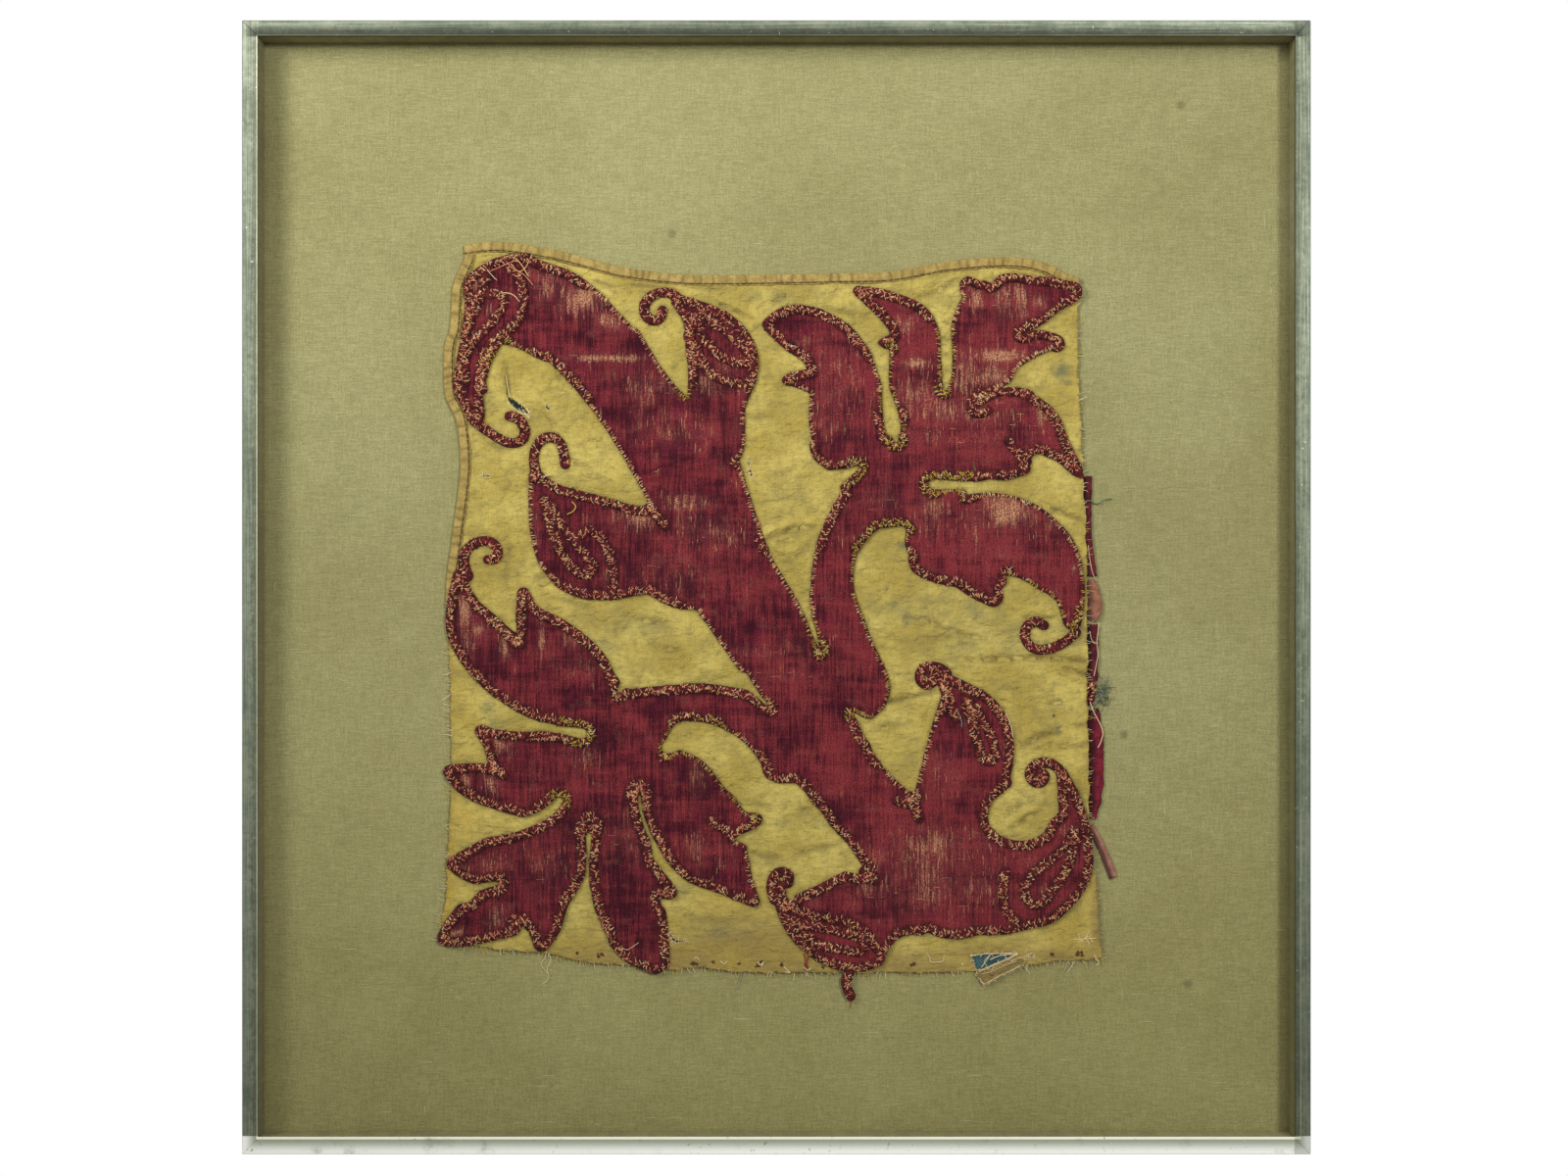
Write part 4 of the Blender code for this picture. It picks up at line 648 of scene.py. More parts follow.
# Loose threads.  Rows: colour, radius in millimetres, then stations x, y, height in millimetres.
LOOSE_THREADS = [
    ("pale", 0.22, (1110, 556, 1.6), (1112, 572, 2.0), (1114, 583, 2.2), (1117, 590, 1.8)),
    ("pale", 0.26, (1121, 635, 1.6), (1120, 645, 2.2), (1119, 655, 2.4), (1120, 668, 2.2),
     (1118, 680, 2.0), (1116, 690, 1.6)),
    ("pale", 0.20, (1112, 644, 1.8), (1113, 651, 2.4), (1116, 656, 2.4), (1120, 656, 2.2)),
    ("pale", 0.32, (1112, 716, 1.6), (1116, 727, 2.4), (1122, 738, 2.6), (1125, 748, 2.4),
     (1123, 757, 2.2), (1120, 763, 1.8)),
    ("green", 0.5, (1106, 512, 3.0), (1112, 511, 3.2), (1118, 514, 2.2), (1123, 513, 1.6),
     (1127, 510, 1.4), (1134, 509, 1.0)),
    ("pale", 0.22, (558, 970, 3.0), (556, 977, 2.0), (552, 983, 1.4), (556, 990, 1.0), (560, 995, 0.8),
     (558, 1001, 0.6), (553, 1004, 0.5)),
    ("pale", 0.2, (560, 972, 3.0), (562, 980, 1.4), (558, 988, 1.0), (560, 996, 0.7)),
    ("grey", 0.2, (757, 990, 2.0), (756, 997, 1.2), (753, 1003, 0.9), (751, 1010, 0.6)),
    ("grey", 0.2, (760, 991, 2.0), (757, 1000, 1.0), (756, 1006, 0.6)),
    ("red", 0.3, (868, 1016, 3.0), (869, 1022, 1.8), (867, 1029, 1.0)),
    ("pale", 0.2, (1096, 981, 2.0), (1093, 986, 1.4), (1089, 992, 0.8)),
    ("gold", 0.3, (508, 268, 6.5), (522, 262, 7.0), (532, 270, 7.2), (540, 283, 6.6)),
    ("salmon", 0.25, (500, 278, 6.4), (514, 272, 7.2), (528, 266, 6.8), (536, 262, 6.2)),
    ("salmon", 0.25, (516, 266, 7.0), (524, 275, 7.4), (535, 281, 7.0), (545, 292, 6.0)),
    ("gold", 0.25, (522, 270, 7.4), (530, 278, 7.6), (537, 274, 7.2), (541, 266, 6.6)),
    ("pale", 0.35, (549, 493, 4.8), (553, 491, 5.8), (557, 486, 6.2), (563, 485, 5.2)),
    ("yellow", 0.4, (579, 525, 5.2), (585, 522, 6.6), (588, 517, 6.8), (584, 512, 6.0)),
    ("gold", 0.3, (592, 547, 5.0), (596, 543, 6.0), (600, 540, 6.4), (604, 541, 5.8)),
    ("yellow", 0.3, (590, 545, 5.0), (594, 541, 5.8), (599, 538, 6.0)),
    ("yellow", 0.3, (975, 483, 5.0), (978, 490, 4.4), (979, 497, 4.8), (978, 505, 5.2)),
    ("green", 0.3, (993, 471, 5.4), (994, 477, 5.0), (996, 484, 4.0), (993, 490, 3.6)),
    ("pale", 0.25, (497, 275, 6.0), (502, 281, 7.2), (508, 287, 6.4)),
    ("pale", 0.3, (512, 300, 6.6), (519, 300, 7.6), (526, 303, 7.4), (531, 309, 6.2)),
    ("pale", 0.2, (630, 972, 4.4), (636, 967, 6.4), (641, 968, 6.2), (652, 961, 5.0)),
    ("yellow", 0.25, (508, 272, 3.6), (514, 266, 5.0), (524, 264, 6.8)),
    ("grey", 0.25, (975, 722, 5.2), (980, 733, 5.6), (981, 742, 4.8)),
    ("pale", 0.25, (1026, 728, 5.0), (1031, 740, 5.2), (1033, 752, 4.8)),
    ("pale", 0.3, (1010, 979, 2.4), (1016, 976, 3.2), (1024, 974, 3.2), (1038, 973, 3.0)),
    ("pale", 0.25, (1001, 987, 2.6), (1006, 980, 3.2), (1010, 974, 3.0)),
    ("pale", 0.26, (1092, 957, 2.9), (1100, 958, 3.7), (1109, 957, 3.8), (1118, 957, 3.0)),
    ("pale", 0.24, (1097, 961, 2.9), (1104, 959, 3.8), (1110, 955, 3.7), (1115, 961, 3.0)),
    ("pale", 0.22, (1100, 950, 2.9), (1101, 956, 3.7), (1106, 963, 3.0)),
    ("pale", 0.22, (1112, 949, 2.9), (1108, 956, 3.8), (1112, 964, 3.0)),
    ("yellow", 0.24, (1096, 955, 2.9), (1103, 956, 3.6), (1112, 959, 3.4)),
    ("pale", 0.30, (1115, 972, 2.9), (1118, 977, 3.4), (1121, 982, 2.4), (1118, 985, 1.4)),
    ("pale", 0.24, (990, 975, 2.9), (1004, 973, 3.4), (1020, 972.6, 3.4), (1037, 971.5, 3.0)),
    ("pale", 0.30, (999, 990, 3.2), (1012, 985, 4.3), (1026, 979, 4.2), (1038, 973, 3.2)),
    ("pale", 0.20, (1008, 987, 1.8), (1004, 981, 2.4), (1008, 976, 2.6), (1012, 973, 2.8)),
    ("grey", 0.20, (1092, 981, 2.0), (1089, 986, 1.3), (1087, 990, 0.8)),
    ("pale", 0.24, (945, 971, 3.0), (948, 976, 3.6), (950, 981, 3.4), (957, 981, 3.5), (962, 980, 3.4),
     (963, 974, 3.0)),
    ("tan", 0.20, (947, 972, 3.0), (953, 976, 3.5), (958, 974, 3.4), (964, 975, 3.0)),
    ("pale", 0.45, (981, 983, 3.1), (983, 984, 3.4)), ("pale", 0.40, (962, 957, 3.1), (963, 958, 3.3)),
    ("pale", 0.18, (1000, 998, 4.2), (1004, 1003, 4.7), (1019, 995, 4.8), (1034, 988, 4.7), (1045, 981, 4.4)),
    ("pale", 0.16, (1001, 993, 4.2), (1010, 991, 4.8), (1021, 986, 4.8), (1037, 980, 4.4)),
    ("pale", 0.34, (773, 981, 3.0), (776, 984, 3.8), (779, 981, 3.8), (777, 986, 3.0)),
    ("pale", 0.30, (800, 986, 3.0), (803, 989, 3.8), (806, 992, 3.4), (801, 991, 3.0)),
    ("pale", 0.26, (708, 978, 3.0), (711, 976, 3.6), (714, 980, 3.0)),
    ("pale", 0.26, (735, 980, 3.0), (739, 983, 3.6), (742, 980, 3.0)),
    ("red", 0.50, (823, 969, 3.6), (825, 976, 4.0), (823, 983, 3.8), (824, 989, 3.2)),
    ("red", 0.45, (820, 972, 3.4), (822, 979, 3.9), (821, 986, 3.4)),
    ("pale", 0.28, (820, 986, 3.4), (824, 989, 4.2), (828, 987, 3.6)),
    ("green", 0.34, (838, 980, 3.2), (840, 985, 3.8), (843, 984, 3.2)),
    ("brown", 0.40, (1009, 993, 4.6), (1012, 995, 4.9), (1014, 993, 4.7)),
    ("pale", 0.22, (517, 383, 3.1), (518, 393, 3.9), (520, 403, 3.9), (523, 409, 3.3)),
    ("pale", 0.34, (530, 421, 3.2), (535, 423, 4.0), (540, 422, 4.0), (538, 417, 3.4)),
    ("pale", 0.28, (533, 418, 3.2), (538, 424, 4.0), (541, 427, 3.4)),
]

# Soft dark spots on the linen.  Columns: x, y, radius.
LINEN_SPOTS = [(686, 238, 5.0), (1205, 107, 5.5), (1147, 750, 5.5), (1212, 1004, 5.5)]


def closed(loop):
    return loop + loop[:1]


def sheet_x(x):
    return (x - DRAWN_CENTRE_X) * UNIT


def sheet_z(y):
    return MIDDLE_Z - (y - DRAWN_CENTRE_Y) * UNIT


def ease(value):
    value = np.clip(value, 0.0, 1.0)
    return value * value * (3 - 2 * value)


def between(table, left, top, a, b):
    """Values of a table at shares a and b of the way to the next column and row."""
    upper = table[top, left] * (1 - a) + table[top, left + 1] * a
    lower = table[top + 1, left] * (1 - a) + table[top + 1, left + 1] * a
    return upper * (1 - b) + lower * b


def smooth_noise(x, y, scale, seed):
    """Smooth random values from -1 to 1 at places on the page."""
    table = np.random.default_rng(seed).uniform(-1.0, 1.0, (257, 257))
    u = np.asarray(x, float) / scale
    v = np.asarray(y, float) / scale
    left = np.floor(u).astype(int)
    top = np.floor(v).astype(int)
    return between(table, left % 256, top % 256, ease(u - left), ease(v - top))


def page_noise(scale, seed):
    return smooth_noise(xs, ys, scale, seed)


def sample(field, x, y):
    """Value of a page field between its places."""
    u = np.clip(np.asarray(x, float) - PAGE_LEFT, 0, PAGE_WIDE - 1.001)
    v = np.clip(np.asarray(y, float) - PAGE_TOP, 0, PAGE_HIGH - 1.001)
    left = u.astype(int)
    top = v.astype(int)
    return between(field, left, top, u - left, v - top)


def field_at(field, shift=0.0):
    return lambda x, y: sample(field, x, y) + shift


def relief(x, y):
    """Broad swell of the whole textile off the linen."""
    first = np.sin(0.0175 * x + 0.011 * y + 0.6)
    second = np.sin(0.0210 * y - 0.012 * x + 2.1)
    return RELIEF_HIGH * (0.5 + 0.25 * first + 0.25 * second)


def world(x, y, forward):
    """Places in metres of page places at a height forward of the linen."""
    x = np.asarray(x, float)
    y = np.asarray(y, float)
    return np.stack([sheet_x(x), -LINEN_FACE - forward - relief(x, y), sheet_z(y)], axis=-1)


def smooth_track(stations, pieces=6):
    """Curve through the stations, every column followed alike."""
    rows = np.array(stations, float)
    if len(rows) < 3:
        return [tuple(rows[0] + (rows[-1] - rows[0]) * step / pieces) for step in range(pieces + 1)]
    ends = np.vstack([2 * rows[0] - rows[1], rows, 2 * rows[-1] - rows[-2]])
    points = []
    for before, start, end, after in zip(ends, ends[1:], ends[2:], ends[3:]):
        for step in range(pieces):
            t = step / pieces
            slope = (end - before) * t
            bend = (2 * before - 5 * start + 4 * end - after) * t * t
            twist = (3 * start - 3 * end + after - before) * t ** 3
            points.append(tuple(start + 0.5 * (slope + bend + twist)))
    return points + [tuple(rows[-1])]


def even_track(points, spacing):
    """The same line with its points an even distance apart."""
    rows = np.array(points, float)
    steps = np.hypot(*np.diff(rows[:, :2], axis=0).T)
    along = np.concatenate([[0.0], np.cumsum(steps)])
    count = max(2, int(round(along[-1] / spacing)) + 1)
    wanted = np.linspace(0.0, along[-1], count)
    return [tuple(np.interp(place, along, column) for column in rows.T) for place in wanted]


def offset_track(track, distance):
    """The line moved sideways, to the right hand of its direction of travel on the page."""
    rows = np.array(track, float)[:, :2]
    direction = np.gradient(rows, axis=0)
    direction /= np.hypot(*direction.T)[:, None]
    side = np.stack([-direction[:, 1], direction[:, 0]], axis=1)
    return [tuple(row) for row in rows + side * distance]


def heading_of(line):
    """Angle on the page of the line at each of its points."""
    return np.arctan2(np.gradient(line[:, 1]), np.gradient(line[:, 0]))


def with_width(track, half):
    return [(point[0], point[1], half) for point in track]


def near_segment(start, end, margin):
    """The window of the page within a margin of a segment.

    Gives the window, the share of the run that is nearest each place, and how far off it is.
    """
    reach = [np.searchsorted(places, [min(pair) - margin, max(pair) + margin])
             for places, pair in ((COLUMNS, (start[0], end[0])), (LINES, (start[1], end[1])))]
    (left, right), (top, bottom) = reach
    across = COLUMNS[left:right][None, :] - start[0]
    down = LINES[top:bottom][:, None] - start[1]
    run = (end[0] - start[0], end[1] - start[1])
    length = max(run[0] ** 2 + run[1] ** 2, 1e-9)
    t = np.clip((across * run[0] + down * run[1]) / length, 0.0, 1.0)
    away = np.hypot(across - run[0] * t, down - run[1] * t)
    return (slice(top, bottom), slice(left, right)), t, away


def depth_in_strokes(strokes):
    """Depth inside the nearest stroke at each place on the page, less than nought outside."""
    depth = np.full(xs.shape, -1000.0)
    for stroke in strokes:
        for start, end in zip(stroke, stroke[1:]):
            window, t, away = near_segment(start, end, max(start[2], end[2]) + STROKE_REACH)
            view = depth[window]
            np.maximum(view, start[2] + (end[2] - start[2]) * t - away, out=view)
    return depth


def depth_in_shapes(shapes):
    return depth_in_strokes([smooth_track(stations) for stations in shapes.values()])


def depth_beside(edges):
    """Depth inside a band along each edge."""
    return depth_in_strokes([with_width(smooth_track(rows), EDGE_BAND) for rows in edges.values()])


def depth_in_outline(loop):
    """Distance in from a closed outline, less than nought outside, never over the reach."""
    away = np.clip(-depth_in_strokes([with_width(closed(loop), 0.0)]), 0.0, STROKE_REACH)
    inside = np.zeros(xs.shape, bool)
    for (x0, y0), (x1, y1) in zip(loop, loop[1:] + loop[:1]):
        if y0 != y1:
            spans = (ys >= min(y0, y1)) & (ys < max(y0, y1))
            inside ^= spans & (xs < x0 + (ys - y0) * (x1 - x0) / (y1 - y0))
    return np.where(inside, away, -away)


def soften(depth, passes):
    """The same depths with small kinks smoothed away, as a sewn edge is."""
    for _ in range(passes):
        padded = np.pad(depth, 1, mode="edge")
        beside = padded[1:-1, :-2] + padded[1:-1, 2:] + padded[:-2, 1:-1] + padded[2:, 1:-1]
        depth = 0.5 * depth + 0.125 * beside
    return depth


def creases():
    """Heights in metres of the soft creases over the whole page, and the painted shade in them."""
    total = np.zeros(xs.shape)
    soil = np.zeros(xs.shape)
    for rows in CREASES:
        track = smooth_track(rows, 5)
        nearest = np.full(xs.shape, 1e9)
        height = np.zeros(xs.shape)
        for start, end in zip(track, track[1:]):
            window, t, away = near_segment(start, end, 3.2 * max(start[2], end[2]))
            closer = away < nearest[window]
            nearest[window][closer] = away[closer]
            wide = start[2] + (end[2] - start[2]) * t
            deep = start[3] + (end[3] - start[3]) * t
            across = away / (0.75 * wide)
            lips = 0.35 * np.exp(-(across - 2.1) ** 2)
            value = -CREASE_DEEP * deep * (np.exp(-across ** 2) - 1.5 * lips)
            height[window][closer] = value[closer]
            # Painted shade: the colour is darkened along the bottom of each crease, where its shade falls.
            crease_shade = np.clip(1.15 * deep, 0.0, 1.0) * np.exp(-(across * 0.95) ** 2)
            soil[window][closer] = np.maximum(soil[window], crease_shade)[closer]
        total += height
    return total, soil


def blobs(rows):
    """Greatest of the soft spots at each place on the page, from nought to one."""
    total = np.zeros(xs.shape)
    for middle_x, middle_y, half_wide, half_high, amount in rows:
        spot = ((xs - middle_x) / half_wide) ** 2 + ((ys - middle_y) / half_high) ** 2
        total = np.maximum(total, amount * np.exp(-spot))
    return total


def trace_loops(depth):
    """Closed outlines of the places where the depth is above nought."""
    sides = {"top": (0, 0, 0, 1), "right": (0, 1, 1, 1), "bottom": (1, 0, 1, 1), "left": (0, 0, 1, 0)}
    turns = {
        1: ["left top"], 2: ["top right"], 3: ["left right"], 4: ["right bottom"],
        5: ["left top", "right bottom"], 6: ["top bottom"], 7: ["left bottom"], 8: ["bottom left"],
        9: ["bottom top"], 10: ["top right", "bottom left"], 11: ["bottom right"],
        12: ["right left"], 13: ["right top"], 14: ["top left"],
    }
    inside = depth > 0
    corners = (inside[:-1, :-1] + 2 * inside[:-1, 1:] + 4 * inside[1:, 1:] + 8 * inside[1:, :-1])
    following = {}
    for line, column in zip(*np.nonzero((corners > 0) & (corners < 15))):
        for turn in turns[int(corners[line, column])]:
            way_in, way_out = [tuple(np.add((line, column, line, column), sides[side]).tolist())
                               for side in turn.split()]
            following[way_in] = way_out
    loops = []
    while following:
        here = next(iter(following))
        loop = []
        while here in following:
            line_a, column_a, line_b, column_b = here
            first = depth[line_a, column_a]
            second = depth[line_b, column_b]
            t = min(0.98, max(0.02, first / (first - second)))
            loop.append((PAGE_LEFT + column_a + (column_b - column_a) * t,
                         PAGE_TOP + line_a + (line_b - line_a) * t))
            here = following.pop(here)
        if len(loop) > SHORTEST_LOOP:
            loops.append(loop)
    return loops


def thin_line(points, tolerance=0.35, longest=6.0):
    """Few of the points, that keep the line within the tolerance and no span too long."""
    rows = np.array(points, float)
    keep = {0, len(rows) - 1}
    waiting = [(0, len(rows) - 1)]
    while waiting:
        first, last = waiting.pop()
        if last - first < 2:
            continue
        run = rows[last] - rows[first]
        length = max(math.hypot(run[0], run[1]), 1e-9)
        beyond = rows[first + 1:last] - rows[first]
        away = np.abs(beyond[:, 0] * run[1] - beyond[:, 1] * run[0]) / length
        furthest = int(np.argmax(away))
        if away[furthest] <= tolerance and length > longest:
            furthest = len(away) // 2
        if away[furthest] > tolerance or length > longest:
            middle = first + 1 + furthest
            keep.add(middle)
            waiting += [(first, middle), (middle, last)]
    return [tuple(rows[index]) for index in sorted(keep)]


def thin_loop(loop):
    half = len(loop) // 2
    return thin_line(loop[:half + 1])[:-1] + thin_line(loop[half:] + loop[:1])[:-1]


def cut_grid(depth, step):
    """Cells of the page where the depth is above nought, cut along its outline.

    Gives the places, the faces as they face the viewer, the same with blocks of whole cells
    taken as one face, and the rim edges in their order.
    """
    across = np.arange(PAGE_LEFT + 0.5, PAGE_LEFT + PAGE_WIDE - 2.0, step)
    down = np.arange(PAGE_TOP + 0.5, PAGE_TOP + PAGE_HIGH - 2.0, step)
    field = sample(depth, *np.meshgrid(across, down))
    inside = field > 0
    number = np.full(field.shape, -1)
    number[inside] = np.arange(int(inside.sum()))
    tops, lefts = np.nonzero(inside)
    places = list(zip(across[lefts].tolist(), down[tops].tolist()))
    corners = [inside[:-1, :-1], inside[1:, :-1], inside[1:, 1:], inside[:-1, 1:]]
    whole = np.logical_and.reduce(corners)
    quads = np.stack([number[:-1, :-1], number[1:, :-1], number[1:, 1:], number[:-1, 1:]], axis=-1)
    faces = [tuple(quad) for quad in quads[whole].tolist()]
    alone = whole.copy()
    coarse = []
    for top in range(0, whole.shape[0] - BLOCK + 1, BLOCK):
        for left in range(0, whole.shape[1] - BLOCK + 1, BLOCK):
            if whole[top:top + BLOCK, left:left + BLOCK].all():
                alone[top:top + BLOCK, left:left + BLOCK] = False
                coarse.append((*number[top:top + BLOCK, left].tolist(),
                               *number[top + BLOCK, left:left + BLOCK].tolist(),
                               *number[top + BLOCK:top:-1, left + BLOCK].tolist(),
                               *number[top, left + BLOCK:left:-1].tolist()))
    coarse += [tuple(quad) for quad in quads[alone].tolist()]
    cut = {}
    rim = []
    some = np.logical_or.reduce(corners)
    for top, left in zip(*[line.tolist() for line in np.nonzero(some & ~whole)]):
        around = [(top, left), (top + 1, left), (top + 1, left + 1), (top, left + 1)]
        walk = []
        for here, after in zip(around, around[1:] + around[:1]):
            if inside[here]:
                walk.append((int(number[here]), False))
            if inside[here] != inside[after]:
                first, second = sorted([here, after])
                if (first, second) not in cut:
                    t = min(0.97, max(0.03, field[first] / (field[first] - field[second])))
                    cut[first, second] = len(places)
                    places.append((across[first[1]] + (across[second[1]] - across[first[1]]) * t,
                                   down[first[0]] + (down[second[0]] - down[first[0]]) * t))
                walk.append((cut[first, second], True))
        if len(walk) > 2:
            faces.append(tuple(index for index, _ in walk))
            coarse.append(faces[-1])
            rim += [(here, after) for (here, first), (after, second) in zip(walk, walk[1:] + walk[:1])
                    if first and second]
    return np.array(places), faces, coarse, rim


def new_mesh(name, vertices, faces, smooth=True, values=None):
    """Mesh with named numbers at its vertices."""
    mesh = bpy.data.meshes.new(name)
    mesh.from_pydata(np.asarray(vertices, float).tolist(), [], faces)
    mesh.update()
    mesh.polygons.foreach_set("use_smooth", [smooth] * len(mesh.polygons))
    for key, numbers in (values or {}).items():
        made = mesh.attributes.new(key, "FLOAT", "POINT")
        made.data.foreach_set("value", np.asarray(numbers, np.float32))
    return mesh


def placed(name, data):
    made = bpy.data.objects.new(name, data)
    bpy.context.scene.collection.objects.link(made)
    return made


def dressed(mesh, material, stands_for=()):
    """The mesh as a piece on the root body and in place of the CAD nodes named."""
    mesh.materials.append(material)
    piece = placed(mesh.name, mesh)
    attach(piece, "root")
    if stands_for:
        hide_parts(*stands_for)
    return piece


def cloth_mesh(name, depth, step, front, back, values=None):
    """Closed sheet over the page where depth is above nought, between two heights.

    front and back give the heights at places; values gives named numbers for the material.
    """
    places, faces, coarse, rim = cut_grid(depth, step)
    x, y = places.T
    kept = np.unique(np.concatenate([np.array(face) for face in coarse]))
    below = np.full(len(places), -1)
    below[kept] = len(places) + np.arange(len(kept))
    below = below.tolist()
    vertices = np.vstack([world(x, y, front(x, y)), world(x[kept], y[kept], back(x[kept], y[kept]))])
    under = [tuple(below[index] for index in reversed(face)) for face in coarse]
    sides = [(end, start, below[start], below[end]) for start, end in rim]
    numbers = {key: np.concatenate([function(x, y), function(x[kept], y[kept])])
               for key, function in (values or {}).items()}
    return new_mesh(name, vertices, faces + under + sides, values=numbers)


def ring_faces(near, far):
    """Faces between rows of numbered corners that go round."""
    return np.stack([near, np.roll(near, -1, -1), np.roll(far, -1, -1), far], axis=-1).reshape(-1, 4)


def sheet_mesh(name, front, back, values=None):
    """Closed sheet between two grids of places, one in front of the other."""
    rows, columns = front.shape[:2]
    number = np.arange(rows * columns).reshape(rows, columns)
    quads = np.stack([number[:-1, :-1], number[1:, :-1], number[1:, 1:], number[:-1, 1:]], axis=-1)
    quads = quads.reshape(-1, 4)
    rim = np.concatenate([number[:, 0], number[-1, 1:], number[-2::-1, -1], number[0, -2:0:-1]])
    sides = ring_faces(rim + number.size, rim)
    faces = np.vstack([quads, quads[:, ::-1] + number.size, sides]).tolist()
    return new_mesh(name, np.concatenate([front, back]).reshape(-1, 3), faces, values=values)


def thread_piece(name, paths, radii, material, sides=3):
    """Joined thin tubes.  Each group of paths is an array of threads by points by 3."""
    angles = [2 * math.pi * corner / sides for corner in range(sides)]
    vertices = []
    quads = []
    caps = []
    base = 0
    for points, radius in zip(paths, radii):
        points = np.asarray(points, float)
        along = np.gradient(points, axis=1)
        along /= np.linalg.norm(along, axis=2, keepdims=True) + 1e-12
        side = np.cross(along, np.array([0.0, -1.0, 0.0]))
        side /= np.linalg.norm(side, axis=2, keepdims=True) + 1e-9
        rise = np.cross(side, along)
        radius = np.broadcast_to(np.asarray(radius, float), (len(points),))[:, None, None]
        around = np.stack([points + radius * (math.cos(angle) * side + math.sin(angle) * rise)
                           for angle in angles], axis=2)
        vertices.append(around.reshape(-1, 3))
        number = base + np.arange(around.size // 3).reshape(around.shape[:3])
        quads.append(ring_faces(number[:, :-1], number[:, 1:]))
        caps += [number[:, 0, ::-1], number[:, -1]]
        base += number.size
    faces = np.vstack(quads).tolist() + np.vstack(caps).tolist()
    return dressed(new_mesh(name, np.vstack(vertices), faces), material)


def node(tree, kind, inputs=(), **settings):
    made = tree.nodes.new(kind)
    for key, value in settings.items():
        setattr(made, key, value)
    for key, value in dict(inputs).items():
        if isinstance(value, bpy.types.NodeSocket):
            tree.links.new(value, made.inputs[key])
        else:
            made.inputs[key].default_value = value
    return made


class Look:
    """A material in the making, with the colour laid on so far."""

    def __init__(self, name, **settings):
        self.material = bpy.data.materials.new(name)
        self.material.use_nodes = True
        self.tree = self.material.node_tree
        self.shader = self.tree.nodes["Principled BSDF"]
        for key, value in settings.items():
            self.shader.inputs[key.replace("_", " ")].default_value = value
        self.place = self.node("ShaderNodeTexCoord").outputs["Object"]
        self.colour = None

    def node(self, kind, inputs=(), **settings):
        return node(self.tree, kind, inputs, **settings)

    def join(self, value, socket):
        self.tree.links.new(value, self.shader.inputs[socket])

    def axes(self):
        return self.node("ShaderNodeSeparateXYZ", {0: self.place}).outputs

    def value_of(self, name):
        """Number that the mesh holds under the name."""
        return self.node("ShaderNodeAttribute", attribute_name=name).outputs["Fac"]

    def grain(self, cells, detail=2.0, seed=0.0, rough=0.5):
        """Noise whose cells are the given sizes in metres along X, Y and Z."""
        turned = self.node("ShaderNodeMapping", {
            "Vector": self.place, "Scale": tuple(1.0 / size for size in cells),
            "Location": (seed, seed * 1.7, seed * 0.6)})
        return self.node("ShaderNodeTexNoise", {"Vector": turned.outputs[0], "Scale": 1.0,
                                                "Detail": detail, "Roughness": rough}).outputs[0]

    def levels(self, value, low, high):
        """The value from nought at low to one at high."""
        return self.node("ShaderNodeMapRange", {"Value": value, "From Min": low, "From Max": high},
                         interpolation_type="SMOOTHSTEP").outputs[0]

    def spread(self, value, low, high):
        """The value stretched from low at nought to high at one."""
        return self.node("ShaderNodeMapRange", {"Value": value, "To Min": low, "To Max": high}).outputs[0]

    def maths(self, kind, first, second=0.0):
        return self.node("ShaderNodeMath", {0: first, 1: second}, operation=kind).outputs[0]

    def times(self, first, second):
        return self.maths("MULTIPLY", first, second)

    def apart(self, value, middle):
        return self.maths("ABSOLUTE", self.maths("SUBTRACT", value, middle))

    def total(self, first, *parts):
        """The first value and a share of each other one."""
        for value, share in parts:
            first = self.maths("ADD", first, self.times(value, share))
        return first

    def blend(self, share, first, second, kind="MIX"):
        first, second = [(*tone, 1.0) if isinstance(tone, tuple) else tone for tone in (first, second)]
        return self.node("ShaderNodeMix", {0: share, 6: first, 7: second}, data_type="RGBA",
                         blend_type=kind).outputs[2]

    def coat(self, mask, tone, share=1.0):
        """Lay the tone over the colour where the mask is."""
        self.colour = self.blend(mask if share == 1.0 else self.times(mask, share), self.colour, tone)

    def darken(self, mask, tone):
        """Take the colour down by the tone where the mask is."""
        self.colour = self.blend(mask, self.colour, tone, "MULTIPLY")

    def finish(self, height=None, distance=0.0, strength=0.5):
        """Join the colour and the bump to the shader."""
        self.join(self.colour, "Base Color")
        if height is not None:
            raised = self.node("ShaderNodeBump", {"Height": height, "Distance": distance,
                                                  "Strength": strength})
            self.join(raised.outputs[0], "Normal")
        return self.material


